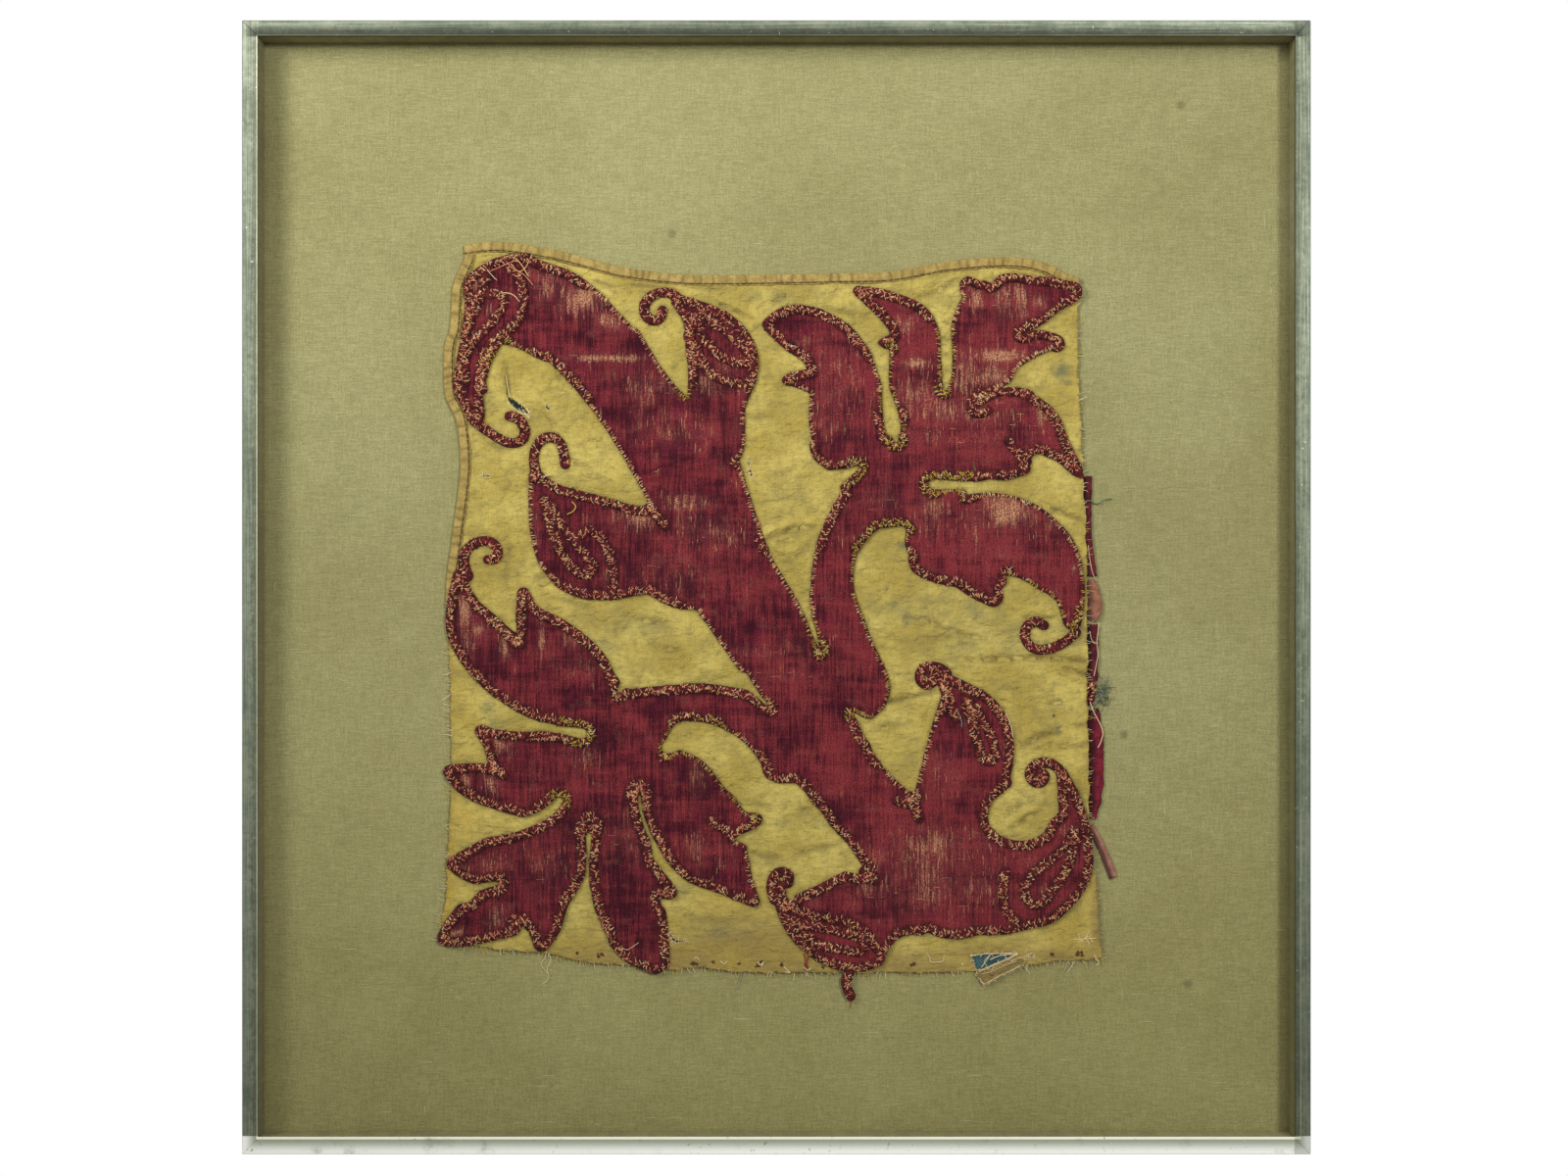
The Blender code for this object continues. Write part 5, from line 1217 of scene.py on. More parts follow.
def velvet_material(name):
    look = Look(name, Roughness=0.9, Sheen_Weight=0.06, Sheen_Roughness=0.4,
                Sheen_Tint=(0.9, 0.45, 0.45, 1.0), Specular_IOR_Level=0.05)
    worn = look.value_of("worn")
    broad = look.grain((0.034, 0.05, 0.026), 3.0, 3.1)
    ribs = look.grain((0.0013, 0.05, 0.026), 3.0, 7.7, 0.65)
    rows = look.grain((0.022, 0.05, 0.0022), 3.0, 5.2, 0.6)
    tufts = look.grain((0.0012, 0.01, 0.0012), 2.0, 1.3)
    patches = look.grain((0.013, 0.05, 0.015), 4.0, 4.6, 0.6)
    bands = look.maths("SUBTRACT", look.grain((0.075, 0.05, 0.010), 3.0, 24.4, 0.55), 0.5)
    rightward = look.levels(look.axes()[0], -0.03, 0.09)
    mixed = look.total(look.times(broad, 0.24), (ribs, 0.40), (rows, 0.12), (patches, 0.20),
                       (bands, 0.22), (rightward, 0.040))
    look.colour = look.blend(look.levels(mixed, 0.395, 0.605), (0.052, 0.0058, 0.0150),
                             (0.250, 0.034, 0.041))
    crimson = look.grain((0.011, 0.05, 0.013), 3.0, 9.9)
    look.coat(look.levels(crimson, 0.54, 0.72), (0.190, 0.015, 0.040), 0.38)
    brown = look.grain((0.016, 0.05, 0.014), 3.0, 17.3)
    look.coat(look.levels(brown, 0.56, 0.70), (0.25, 0.072, 0.060), 0.30)
    look.coat(worn, (0.25, 0.075, 0.072), 0.40)

    # Bare warp: thin lines where the pile has gone, and rubbed patches.
    wander = look.grain((0.0085, 0.05, 0.16), 2.0, 2.4, 0.5)
    length = look.grain((0.006, 0.05, 0.026), 2.0, 6.1)
    shown = look.levels(look.total(length, (worn, 0.42)), 0.64, 0.80)
    lines = look.times(look.levels(look.apart(wander, 0.5), 0.020, 0.004), shown)
    streaks = look.grain((0.0013, 0.05, 0.018), 3.0, 21.7, 0.6)
    patch = look.total(look.times(streaks, 0.62), (patches, 0.38), (worn, 0.30))
    rubbed = look.maths("MAXIMUM", lines, look.levels(patch, 0.60, 0.80))
    pink = look.blend(look.levels(tufts, 0.36, 0.64), (0.33, 0.115, 0.085), (0.62, 0.33, 0.175))
    look.coat(rubbed, pink, 0.86)
    look.darken(look.levels(tufts, 0.60, 0.34), (0.55, 0.48, 0.50))
    # Painted shade: the velvet darkens in its creases and beside the cords.
    look.coat(look.value_of("painted_shade"), (0.040, 0.005, 0.010), 0.6)
    height = look.total(look.times(tufts, 0.5), (ribs, 0.8), (rows, 0.4), (rubbed, -0.4))
    return look.finish(height, 0.0008, 0.7)


def silk_material(name):
    look = Look(name, Roughness=0.62, Sheen_Weight=0.04, Sheen_Roughness=0.4, Specular_IOR_Level=0.22)
    broad = look.grain((0.045, 0.05, 0.035), 3.0, 1.4)
    cloudy = look.grain((0.014, 0.05, 0.010), 3.0, 8.3, 0.6)
    warp = look.grain((0.0010, 0.05, 0.010), 2.0, 4.4)
    weft = look.grain((0.008, 0.05, 0.0009), 2.0, 2.9)
    weave = look.grain((0.0009, 0.01, 0.0007), 1.0, 6.6)
    grime = look.grain((0.0065, 0.05, 0.0055), 4.0, 12.6, 0.65)
    slack = look.grain((0.0055, 0.05, 0.0034), 3.0, 15.2, 0.55)
    crumpled = look.grain((0.020, 0.05, 0.014), 2.0, 18.1)
    threads = look.total(look.times(warp, 0.5), (weft, 0.5))
    look.colour = look.blend(look.levels(broad, 0.35, 0.65), (0.425, 0.315, 0.062), (0.610, 0.480, 0.124))
    look.coat(look.levels(cloudy, 0.42, 0.70), (0.33, 0.260, 0.075), 0.55)
    look.darken(look.levels(threads, 0.60, 0.38), (0.88, 0.86, 0.80))
    look.coat(look.value_of("aged"), (0.50, 0.33, 0.045), 0.75)
    soiled = look.times(look.value_of("soil"), look.levels(broad, 0.15, 0.55))
    look.coat(soiled, (0.225, 0.140, 0.045), 0.85)
    stained = look.times(look.value_of("stain"), look.levels(cloudy, 0.25, 0.60))
    look.coat(stained, (0.14, 0.15, 0.085), 1.1)
    look.coat(look.levels(grime, 0.48, 0.68), (0.24, 0.190, 0.060), 0.46)
    # Painted shade: the silk darkens in its creases, in troughs and beside the cords.
    look.coat(look.value_of("painted_shade"), (0.135, 0.098, 0.030), 0.80)
    rim = look.times(look.value_of("rim"), look.levels(cloudy, 0.3, 0.6))
    look.coat(rim, (0.22, 0.14, 0.04), 0.55)
    wrinkled = look.levels(look.apart(crumpled, 0.5), 0.0, 0.11)
    height = look.total(look.times(weave, 0.4), (threads, 0.5), (cloudy, 1.2), (slack, 2.4),
                        (wrinkled, 0.6))
    return look.finish(height, 0.0012, 0.8)


def linen_material(name, light, shade, spots=()):
    look = Look(name, Roughness=0.92, Sheen_Weight=0.06, Specular_IOR_Level=0.2)
    broad = look.grain((0.16, 0.1, 0.12), 3.0, 2.2)
    weft = look.grain((0.011, 0.03, 0.0008), 2.0, 5.5, 0.6)
    warp = look.grain((0.0008, 0.03, 0.009), 2.0, 7.1, 0.6)
    cloudy = look.grain((0.022, 0.03, 0.016), 3.0, 13.1, 0.6)
    tabby = look.grain((0.0008, 0.0008, 0.0008), 1.0, 3.7)
    threads = look.total(look.times(weft, 0.6), (warp, 0.4))
    look.colour = look.blend(look.levels(broad, 0.3, 0.7), shade, light)
    # Painted shade: the linen darkens towards the bottom, where less light falls.
    look.darken(look.levels(look.axes()[2], MIDDLE_Z - 0.02, MIDDLE_Z - 0.36), (0.90, 0.890, 0.82))
    look.darken(look.levels(cloudy, 0.60, 0.40), (0.965, 0.965, 0.955))
    look.darken(look.levels(threads, 0.62, 0.40), (0.80, 0.795, 0.77))
    look.darken(look.levels(tabby, 0.60, 0.36), (0.80, 0.80, 0.78))
    for x, y, radius in spots:
        middle = look.node("ShaderNodeCombineXYZ", {0: sheet_x(x), 1: -LINEN_FACE, 2: sheet_z(y)})
        away = look.node("ShaderNodeVectorMath", {0: look.place, 1: middle.outputs[0]},
                         operation="DISTANCE").outputs["Value"]
        mark = look.levels(away, radius * UNIT * 1.25, radius * UNIT * 0.3)
        look.coat(mark, (0.10, 0.085, 0.035), 0.5)
    return look.finish(look.total(look.times(threads, 0.7), (tabby, 0.5)), 0.0006, 0.6)


def plain_cloth_material(name, first, second, cell=0.0012, roughness=0.88, with_painted_shade=False):
    """Small cloth pieces and threads: two mixed tones with a fine grain."""
    look = Look(name, Roughness=roughness, Sheen_Weight=0.03, Specular_IOR_Level=0.15)
    cloudy = look.grain((0.006, 0.006, 0.006), 3.0, 4.9)
    fine = look.grain((cell, cell, cell), 2.0, 1.9)
    mixed = look.total(look.times(cloudy, 0.5), (fine, 0.5))
    look.colour = look.blend(look.levels(mixed, 0.38, 0.62), first, second)
    # Painted shade, where the mesh holds it: in gathers, along seams and shaded edges.
    if with_painted_shade:
        look.coat(look.value_of("painted_shade"), tuple(channel * 0.30 for channel in first))
    return look.finish(fine, 0.0004)


def metal_material(name, light=(0.27, 0.300, 0.212), dark=(0.102, 0.125, 0.083), grime=0.62):
    """Old metal of the frame, or of its lip where there is no grime.

    The finish changes with the distance out from the opening of the frame, and has a painted highlight on the
    bottom rail and painted shade on the right one.
    """
    look = Look(name, Roughness=0.5)
    x, y, z = look.axes()
    across = look.maths("ABSOLUTE", x)
    level_out = look.maths("SUBTRACT", look.apart(z, MIDDLE_Z), FRAME_HEIGHT / 2 - RAIL_FACE)
    from_lip = look.maths("MAXIMUM", level_out, look.maths("SUBTRACT", across, OPENING_RIGHT))
    along_x = look.grain((0.070, 0.0009, 0.0007), 3.0, 1.1)
    along_z = look.grain((0.0007, 0.0009, 0.070), 3.0, 1.1)
    upright = look.maths("GREATER_THAN", across, OPENING_RIGHT - 0.0005)
    brushed = look.node("ShaderNodeMix", {0: upright, 2: along_x, 3: along_z}, data_type="FLOAT").outputs[0]
    patina = look.grain((0.034, 0.012, 0.034), 5.0, 6.4, 0.7)
    fine = look.grain((0.0045, 0.004, 0.0045), 4.0, 3.6, 0.7)
    spots = look.grain((0.0024, 0.002, 0.0024), 3.0, 8.8, 0.7)
    mixed = look.total(look.times(brushed, 0.45), (patina, 0.35), (fine, 0.20))
    look.colour = look.blend(look.levels(mixed, 0.38, 0.62), dark, light)
    grimy = look.total(from_lip, (look.maths("SUBTRACT", fine, 0.5), 0.012))
    look.coat(look.levels(grimy, 0.0075, 0.0005), (0.085, 0.088, 0.050), grime)

    # Painted highlight: the front of the bottom rail is coloured pale, brighter outwards, and made less
    # metallic there.
    below = look.times(look.levels(z, OPENING_BOTTOM + 0.0022, OPENING_BOTTOM + 0.0018),
                       look.levels(y, 0.006 - FRAME_DEPTH, 0.003 - FRAME_DEPTH))
    painted_highlight = look.times(below, look.levels(patina, 0.12, 0.46))
    pale = (0.95, 0.93, 0.76)
    if grime:
        pale = look.blend(look.levels(from_lip, 0.0005, 0.0108), (0.29, 0.345, 0.235), (0.97, 0.98, 0.91))
    look.coat(painted_highlight, pale, 0.96)

    # Painted shade: the right rail is darkened, and the top one darkens towards its inner edge.
    look.darken(look.levels(x, OPENING_RIGHT - 0.001, OPENING_RIGHT), (0.62, 0.63, 0.60))
    above = look.times(look.levels(z, OPENING_TOP - 0.001, OPENING_TOP),
                       look.levels(from_lip, 0.0115, 0.0025))
    look.darken(above, (0.26, 0.27, 0.24))
    look.coat(look.levels(spots, 0.68, 0.75), (0.72, 0.73, 0.66))
    rust = look.times(look.levels(fine, 0.40, 0.30), look.levels(patina, 0.46, 0.60))
    look.coat(rust, (0.13, 0.065, 0.022), 0.75)
    look.join(look.times(look.maths("SUBTRACT", 1.0, painted_highlight), 0.55), "Metallic")
    look.join(look.spread(mixed, 0.62, 0.30), "Roughness")
    return look.finish(look.total(brushed, (fine, 0.8)), 0.0002)


def glass_material(name):
    look = Look(name)
    look.tree.nodes.remove(look.shader)
    clear = look.node("ShaderNodeBsdfTransparent", {"Color": (0.985, 0.99, 0.98, 1.0)})
    smears = look.grain((0.05, 0.05, 0.03), 3.0, 4.0)
    shine = look.node("ShaderNodeBsdfAnisotropic", {"Color": (1, 1, 1, 1),
                                                    "Roughness": look.spread(smears, 0.01, 0.06)})
    facing = look.node("ShaderNodeFresnel", {"IOR": 1.25}).outputs[0]
    rear = look.node("ShaderNodeNewGeometry").outputs["Backfacing"]
    share = look.times(facing, look.maths("SUBTRACT", 1.0, rear))
    both = look.node("ShaderNodeMixShader", {0: share, 1: clear.outputs[0], 2: shine.outputs[0]})
    look.tree.links.new(both.outputs[0], look.tree.nodes["Material Output"].inputs["Surface"])
    return look.material


def board_material(name):
    look = Look(name, Roughness=0.9)
    fibres = look.grain((0.012, 0.004, 0.0016), 4.0, 3.3, 0.6)
    stains = look.grain((0.12, 0.05, 0.09), 3.0, 5.0)
    look.colour = look.blend(look.levels(fibres, 0.35, 0.65), (0.30, 0.215, 0.125), (0.44, 0.335, 0.21))
    look.coat(look.levels(stains, 0.5, 0.7), (0.22, 0.15, 0.085), 0.5)
    return look.finish(fibres, 0.0006)


def floor_material(name):
    look = Look(name, Roughness=0.75)
    cloudy = look.grain((0.5, 0.5, 0.5), 3.0, 2.0)
    look.colour = look.blend(cloudy, (0.80, 0.79, 0.77), (0.86, 0.855, 0.84))
    return look.finish()


def cord_tracks(velvet_depth, worn_edges):
    """Middle lines of every cord, each with its half widths and how worn it is."""
    outer_edges = depth_beside(OUTER_EDGES)
    inset = CORD_INSET * (1 - ease(worn_edges / 4.0)) * (1 - 1.3 * ease(outer_edges / 4.0))
    outlines = [closed(thin_loop(loop)) for loop in trace_loops(velvet_depth - inset)
                if len(loop) > SHORTEST_CORD]
    curls, loops, doubled = [[smooth_track(stations) for stations in group.values()]
                             for group in (CURLS, LOOPS, DOUBLED)]
    made = []
    for group, thicker, uneven, wears in ((outlines, 0.0, 0.35, True), (curls, 0.35, 0.35, True),
                                          (loops + doubled, 0.1, 0.3, False)):
        for track in group:
            rows = np.array(even_track(track, CORD_STEP))[:, :2]
            share = wears * ease(sample(worn_edges, *rows.T) / 4.0)
            half = CORD_HALF + thicker + uneven * smooth_noise(*rows.T, 16.0, 41)
            made.append(np.column_stack([rows, half * (1 - share) + THIN_HALF * share, share]))
    return made


def stitches_along(tracks, random):
    """Short stitches over the cords: rows of x, y, angle, length, radius and a tone name."""
    rows = []
    for track in tracks:
        line = np.array(even_track([tuple(row) for row in track], STITCH_STEP))
        heading = heading_of(line)
        count = len(line)
        thin = line[:, 3] > 0.5
        yellow = sample(yellow_edges, line[:, 0], line[:, 1]) > 0
        keep = ~thin | (random.random(count) < 0.30)
        aside = random.uniform(-0.95, 0.95, count) * line[:, 2]
        slant = np.radians(random.uniform(25, 90, count)) * random.choice([-1, 1], count)
        length = random.uniform(1.9, 4.2, count)
        whisker = random.uniform(2.2, 5.6, count)
        aside = np.where(thin, random.uniform(-1.2, 1.8, count), aside)
        slant = np.where(thin, np.radians(random.uniform(65, 115, count)), slant)
        length = np.where(thin, whisker, length)
        radius = np.where(thin, random.uniform(*WHISKER_RADIUS, count),
                          random.uniform(*STITCH_RADIUS, count))
        x = line[:, 0] + aside * np.sin(heading)
        y = line[:, 1] - aside * np.cos(heading)
        pick = random.random(count)
        for index in np.nonzero(keep)[0]:
            shares = STITCH_SHARES[bool(thin[index]), bool(yellow[index])]
            tone = next(name for name, share in shares if pick[index] <= share)
            rows.append((x[index], y[index], heading[index] + slant[index], length[index],
                         radius[index], tone))
    return rows


def lay_threads(name, rows, high, arch=0.0):
    """Three-point threads on a height field, one piece for each tone.

    The rows are x, y, angle, length, radius and a tone; a brace pair in the name stands for the tone.
    """
    groups = {}
    for row in rows:
        groups.setdefault(row[5], []).append(row[:5])
    for tone, items in groups.items():
        x, y, angle, length, radius = np.array(items, float).T
        points = []
        for place in (-0.5, 0.0, 0.5):
            px = x + np.cos(angle) * length * place
            py = y + np.sin(angle) * length * place
            lift = radius * 0.55 + (arch if place == 0.0 else 0.0)
            points.append(world(px, py, sample(high, px, py) + lift))
        thread_piece(name.format(tone), [np.stack(points, axis=1)], [radius], threads_of[tone])


def long_thread(stations, pieces=5):
    """Points of a thread from stations x, y and height in millimetres."""
    x, y, high = np.array(smooth_track(stations, pieces)).T
    return world(x, y, high * MILLIMETRE)


def towards(angle):
    return np.array([math.cos(angle), math.sin(angle)])


def build_binding(name, track, material, seed):
    """Bias strip folded over the edge, swept along it with small gathers."""
    stations = even_track(track, BINDING_STEP)
    along = np.arange(len(stations)) * BINDING_STEP
    still = along * 0
    spaced = np.random.default_rng(seed)
    pleats = np.cumsum(spaced.uniform(4.0, 15.0, 200))
    pleats = [(place, spaced.uniform(-0.28, 0.28), spaced.uniform(0.9, 1.9), spaced.uniform(0.3, 1.0))
              for place in pleats if place < along[-1]]
    vertices = []
    painted_gather_shade = []
    for inward, high in BINDING_SECTION:
        lane = np.array(offset_track(stations, inward))
        front = 1.0 if high > 3.3 else 0.0
        dips = still
        for place, lean, wide, strong in pleats:
            dips = np.maximum(dips, strong * np.exp(-((along - place - lean * inward) / wide) ** 2))
        gather = -0.42 * dips + 0.20 * smooth_noise(along, inward * 0.4 + still, 7.0, seed + 4)
        gather = gather + 0.09 * smooth_noise(along, inward + still, 3.0, seed + 1)
        # Painted shade in the dips of the gathers and along the seam line.
        seam = np.exp(-((inward - SEAM_INWARD) / 0.6) ** 2)
        painted_gather_shade.append(np.clip(0.62 * dips * (inward < SEAM_INWARD) + 0.9 * seam, 0, 1) * front)
        held = 0.35 if 8.0 < inward < 9.9 else 1.0
        rise = (high + front * held * (gather - 0.12)) * MILLIMETRE
        wander = 0.45 * smooth_noise(along, still + 3.0, 9.0, seed + 2) * (1.0 if inward > 9.9 else 0.4)
        vertices.append(world(lane[:, 0], lane[:, 1] + wander, rise))
    vertices = np.stack(vertices, axis=1)
    number = np.arange(vertices.size // 3).reshape(vertices.shape[:2])
    faces = ring_faces(number[:-1], number[1:]).tolist() + [number[0, ::-1].tolist(), number[-1].tolist()]
    mesh = new_mesh(name + "_bias", vertices.reshape(-1, 3), faces,
                    values={"painted_shade": np.stack(painted_gather_shade, axis=1).ravel()})
    return dressed(mesh, material, [name])


def build_strip(name, inner, outer, material, curl=0.0004):
    """Sheet between two lines on the page, with a worn outer edge."""
    inner = np.array(even_track(inner, STRIP_STEP))
    outer = np.array(outer, float)
    reach = np.concatenate([[0], np.cumsum(np.hypot(*np.diff(outer, axis=0).T))])
    along = np.linspace(0, 1, len(inner)) * reach[-1]
    outer = np.column_stack([np.interp(along, reach, column) for column in outer.T])
    front = []
    back = []
    shaded = []
    for step in range(STRIP_CELLS + 1):
        share = step / STRIP_CELLS
        x, y = (inner + (outer - inner) * share).T
        x = x + share ** 3 * 0.8 * smooth_noise(y, x, 4.0, 61)
        rise = STRIP_FRONT + curl * share ** 2 + 0.00012 * smooth_noise(x, y, 5.0, 62)
        front.append(world(x, y, rise))
        back.append(world(x, y, rise - CLOTH_THICK))
        # Painted shadow along the inner edge, where the edge of the silk shades the strip.
        shaded.append(0.96 * (1 - ease((share - 0.36 + 0.08 * smooth_noise(y, x, 9.0, 63)) / 0.34)))
    mesh = sheet_mesh(name + "_cloth", np.stack(front, axis=1), np.stack(back, axis=1),
                      {"painted_shade": np.tile(np.stack(shaded, axis=1).ravel(), 2)})
    return dressed(mesh, material, [name])


# Fields over the page: depth inside each shape, in drawing units.
COLUMNS = np.arange(PAGE_LEFT, PAGE_LEFT + PAGE_WIDE, 1.0)
LINES = np.arange(PAGE_TOP, PAGE_TOP + PAGE_HIGH, 1.0)
xs, ys = np.meshgrid(COLUMNS, LINES)
top_line = smooth_track(TOP_EDGE)
left_line = smooth_track(LEFT_EDGE[::-1])
over_binding = depth_in_strokes([with_width(offset_track(line, BINDING_WIDE / 2), BINDING_WIDE / 2 + 0.5)
                                 for line in (top_line, left_line)])
velvet_depth = soften(np.minimum(depth_in_shapes(LEAVES), -depth_in_shapes(CLEFTS)), 2)
velvet_depth = velvet_depth + 0.5 * page_noise(11.0, 12) * (velvet_depth < 6)
worn_edges = depth_beside(THIN_EDGES)
yellow_edges = depth_beside(YELLOW_EDGES)

ground_top, ground_left = [offset_track(even_track(line, 6.0), 1.9) for line in (top_line, left_line)]
ground_right, ground_bottom, ground_lower = [even_track(smooth_track(edge[::-1]), 8.0)
                                             for edge in (RIGHT_EDGE, BOTTOM_EDGE, LOWER_LEFT_EDGE)]
ground_depth = depth_in_outline(ground_top + ground_right[:-1] + ground_bottom[:-1] + ground_lower
                                + ground_left)
hole_depth = depth_in_outline(HOLE_EDGE)
tear_depth = depth_in_strokes([smooth_track(rows, 5) for rows in TEARS])
ragged = 1.1 * page_noise(4.0, 21) + 0.9 * page_noise(13.0, 22)
raw_edge = (ys > 600) & (xs < 480) | (ys > 940) | (xs > 1090)
silk_depth = ground_depth + np.where(raw_edge, ragged - 0.6, 0.0)
silk_depth = np.minimum(silk_depth, -hole_depth - 0.3 * ragged)

# Heights in metres forward of the linen and its relief.  First the puckers of all the cloth.
bare = velvet_depth < 0
sinking, painted_shade_field = creases()
sinking = sinking * (1 - ease((over_binding + 7) / 7))
wavy = 0.00034 * page_noise(38.0, 1) + 0.00028 * page_noise(15.0, 2)
wavy = wavy + 0.00010 * smooth_noise(xs + 0.6 * ys, ys - 0.3 * xs, 6.0, 10) * bare
wavy = wavy + 0.00034 * page_noise(7.0, 9) * np.exp(-((velvet_depth + 7) / 8.0) ** 2)
bent_x = xs + 15.0 * page_noise(42.0, 33)
bent_y = ys + 15.0 * page_noise(42.0, 34)
ridges = 1 - np.abs(smooth_noise(0.6 * bent_x + 0.25 * bent_y, bent_y, 27.0, 35))
ridges = ridges ** 4 * ease(0.5 + 1.2 * page_noise(60.0, 36))
troughs = 1 - np.abs(smooth_noise(0.7 * bent_x - 0.2 * bent_y, bent_y, 31.0, 37))
troughs = troughs ** 5 * ease(0.5 + 1.2 * page_noise(52.0, 38))
slack = (over_binding < -3) * (0.35 + 0.65 * bare)
wavy = wavy + (0.00060 * ridges - 0.00070 * troughs) * slack
# Painted shade in the troughs of the bare silk.
painted_shade_field = np.maximum(painted_shade_field, 0.16 * troughs * bare)

# The silk, gathered along the binding and drawn down beside the velvet.
along_binding = np.where(ys - 250 < 0.9 * (xs - 455), xs, ys)
gathers = np.sin(2 * math.pi * along_binding / 8.4 + 2.5 * page_noise(30.0, 3))
puffs = smooth_noise(along_binding, 0.35 * over_binding, 6.5, 4) + 0.35 * gathers
gathers = 0.00062 * puffs * ease((over_binding + 24) / 21) * (over_binding < 3)
beside_velvet = -0.00028 * np.exp(-(np.minimum(velvet_depth + 4, 0) / 5.0) ** 2)
silk_high = SILK_FRONT + sinking + wavy + gathers + beside_velvet

# The velvet, with rounded edges, that laps over the binding.
lapping = 0.00125 * ease((over_binding + 5) / 5)
pile = 0.00026 * page_noise(22.0, 5) + 0.00007 * page_noise(6.0, 6)
rounded = -0.0005 * (1 - ease(velvet_depth / 4.0))
velvet_high = VELVET_FRONT + sinking + wavy + pile + rounded + lapping

# The cord, a knobbly half round on whatever it lies on.
binding_high = SILK_FRONT + (BINDING_FRONT + 0.0003 - SILK_FRONT) * ease((over_binding + 3) / 3.5)
under_cord = silk_high + (velvet_high - silk_high) * ease((velvet_depth + 3) / 3)
under_cord = np.maximum(under_cord, np.where(over_binding > -3, binding_high, 0.0))
tracks = cord_tracks(velvet_depth, worn_edges)
cord_depth = depth_in_strokes([track[:, :3] for track in tracks])
slim = ease(worn_edges / 4.0)
# Painted shadow: a dark band on the cloth beside each cord, where the cord shades it.
painted_shadow_by_cord = 0.55 * np.exp(-(np.minimum(cord_depth, 0.0) / 2.2) ** 2)
painted_shade_field = np.clip(np.maximum(painted_shade_field, painted_shadow_by_cord), 0, 1)
limit = CORD_HALF + 0.5
capped = np.clip(cord_depth, 0.0, limit)
dome = np.sqrt(capped * (2 * limit - capped)) / limit
knobs = 1 + 0.32 * page_noise(2.9, 7) + 0.10 * page_noise(7.0, 8)
cord_high = under_cord + CORD_RISE * dome * knobs * (1 - 0.55 * slim)
surface = np.where(cord_depth > 0, cord_high, under_cord)

# Numbers that the cloth gives its material, the painted shade among them.
velvet_values = {"worn": np.clip(blobs(WORN_PATCHES), 0, 1), "painted_shade": painted_shade_field}
silk_values = {
    "stain": np.clip(blobs(STAINS), 0, 1),
    "soil": np.clip(blobs(SOILED), 0, 1),
    "aged": np.clip(blobs(AGEING) + 0.2 * page_noise(40.0, 31) - 0.05, 0, 1),
    "rim": np.clip(np.exp(-np.clip(silk_depth, 0, 99) / 3.0) * raw_edge, 0, 1),
    "painted_shade": painted_shade_field,
}
velvet_values, silk_values = [{key: field_at(field) for key, field in values.items()}
                              for values in (velvet_values, silk_values)]

# The silk ground, in coarse cells where the velvet hides it.
silk = silk_material("silk")
silk_heights = (field_at(silk_high), field_at(silk_high, -CLOTH_THICK))
silk_cloth = dressed(cloth_mesh("silk_cloth", np.minimum(silk_depth, 7 - velvet_depth), SILK_CELL,
                                *silk_heights, silk_values), silk)
silk_under = dressed(cloth_mesh("silk_under", np.minimum(silk_depth, velvet_depth - 4.5),
                                HIDDEN_SILK_CELL, *silk_heights, silk_values), silk)
with bpy.context.temp_override(active_object=silk_cloth, selected_editable_objects=[silk_cloth, silk_under]):
    bpy.ops.object.join()
silk_cloth.name = "silk_cloth"
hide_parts("ground_cloth")

# The velvet laid on it.
dressed(cloth_mesh("velvet_cloth", velvet_depth, VELVET_CELL, field_at(velvet_high),
                   field_at(velvet_high, -VELVET_THICK), velvet_values),
        velvet_material("velvet"), ["velvet_applique"])

# The core of the cord.
dressed(cloth_mesh("cord_trim", cord_depth, CORD_CELL, field_at(cord_high),
                   field_at(under_cord, CORD_LIFT)),
        plain_cloth_material("cord_core", (0.034, 0.004, 0.007), (0.115, 0.013, 0.016)),
        ["cord_outline", *LOOPS])

# Stitches over the cord.
random = np.random.default_rng(5)
threads_of = {tone: plain_cloth_material("thread_" + tone, *pair, 0.0009, 0.7)
              for tone, pair in TONES.items()}
lay_threads("cord_stitches_{}", stitches_along(tracks, random), surface, 0.00012)

# Bare threads of the worn velvet.
rows = []
for middle_x, middle_y, half_wide, half_high, amount in WORN_PATCHES:
    for _ in range(int(half_wide * half_high * amount * BARE_THREADS_A_UNIT) + 2):
        x = middle_x + half_wide * random.uniform(-0.9, 0.9)
        y = middle_y + half_high * random.uniform(-0.9, 0.9)
        level = random.random() < (0.6 if half_wide > 4 * half_high else 0.08)
        length = random.uniform(3, 9)
        angle = random.normal(0, 0.05) + (0 if level else math.pi / 2)
        ends = [(x, y) + towards(angle) * length * t for t in (-0.5, 0.5)]
        if all(sample(velvet_depth, *end) > 5 for end in ends):
            tone = random.choice(["tan", "salmon", "gold"], p=[0.6, 0.3, 0.1])
            rows.append((x, y, angle, length, random.uniform(*BARE_RADIUS), tone))
lay_threads("bare_threads_{}", rows, velvet_high)

# Bindings and their seam.
binding_cloth = plain_cloth_material("binding_cloth", (0.29, 0.200, 0.058), (0.45, 0.320, 0.105), 0.0011,
                                     with_painted_shade=True)
build_binding("binding_top", top_line, binding_cloth, 71)
build_binding("binding_left", left_line + [BINDING_CORNER], binding_cloth, 83)
rows = []
for line in (top_line, left_line):
    places = np.array(even_track(offset_track(line, SEAM_INWARD), SEAM_STEP))
    for (x, y), angle in zip(places, heading_of(places)):
        rows.append((x, y, angle + random.normal(0, 0.12), random.uniform(4.0, 5.6), SEAM_RADIUS,
                     "brown"))
lay_threads("binding_seam", rows, np.maximum(surface, BINDING_FRONT - 0.0004), 0.0001)

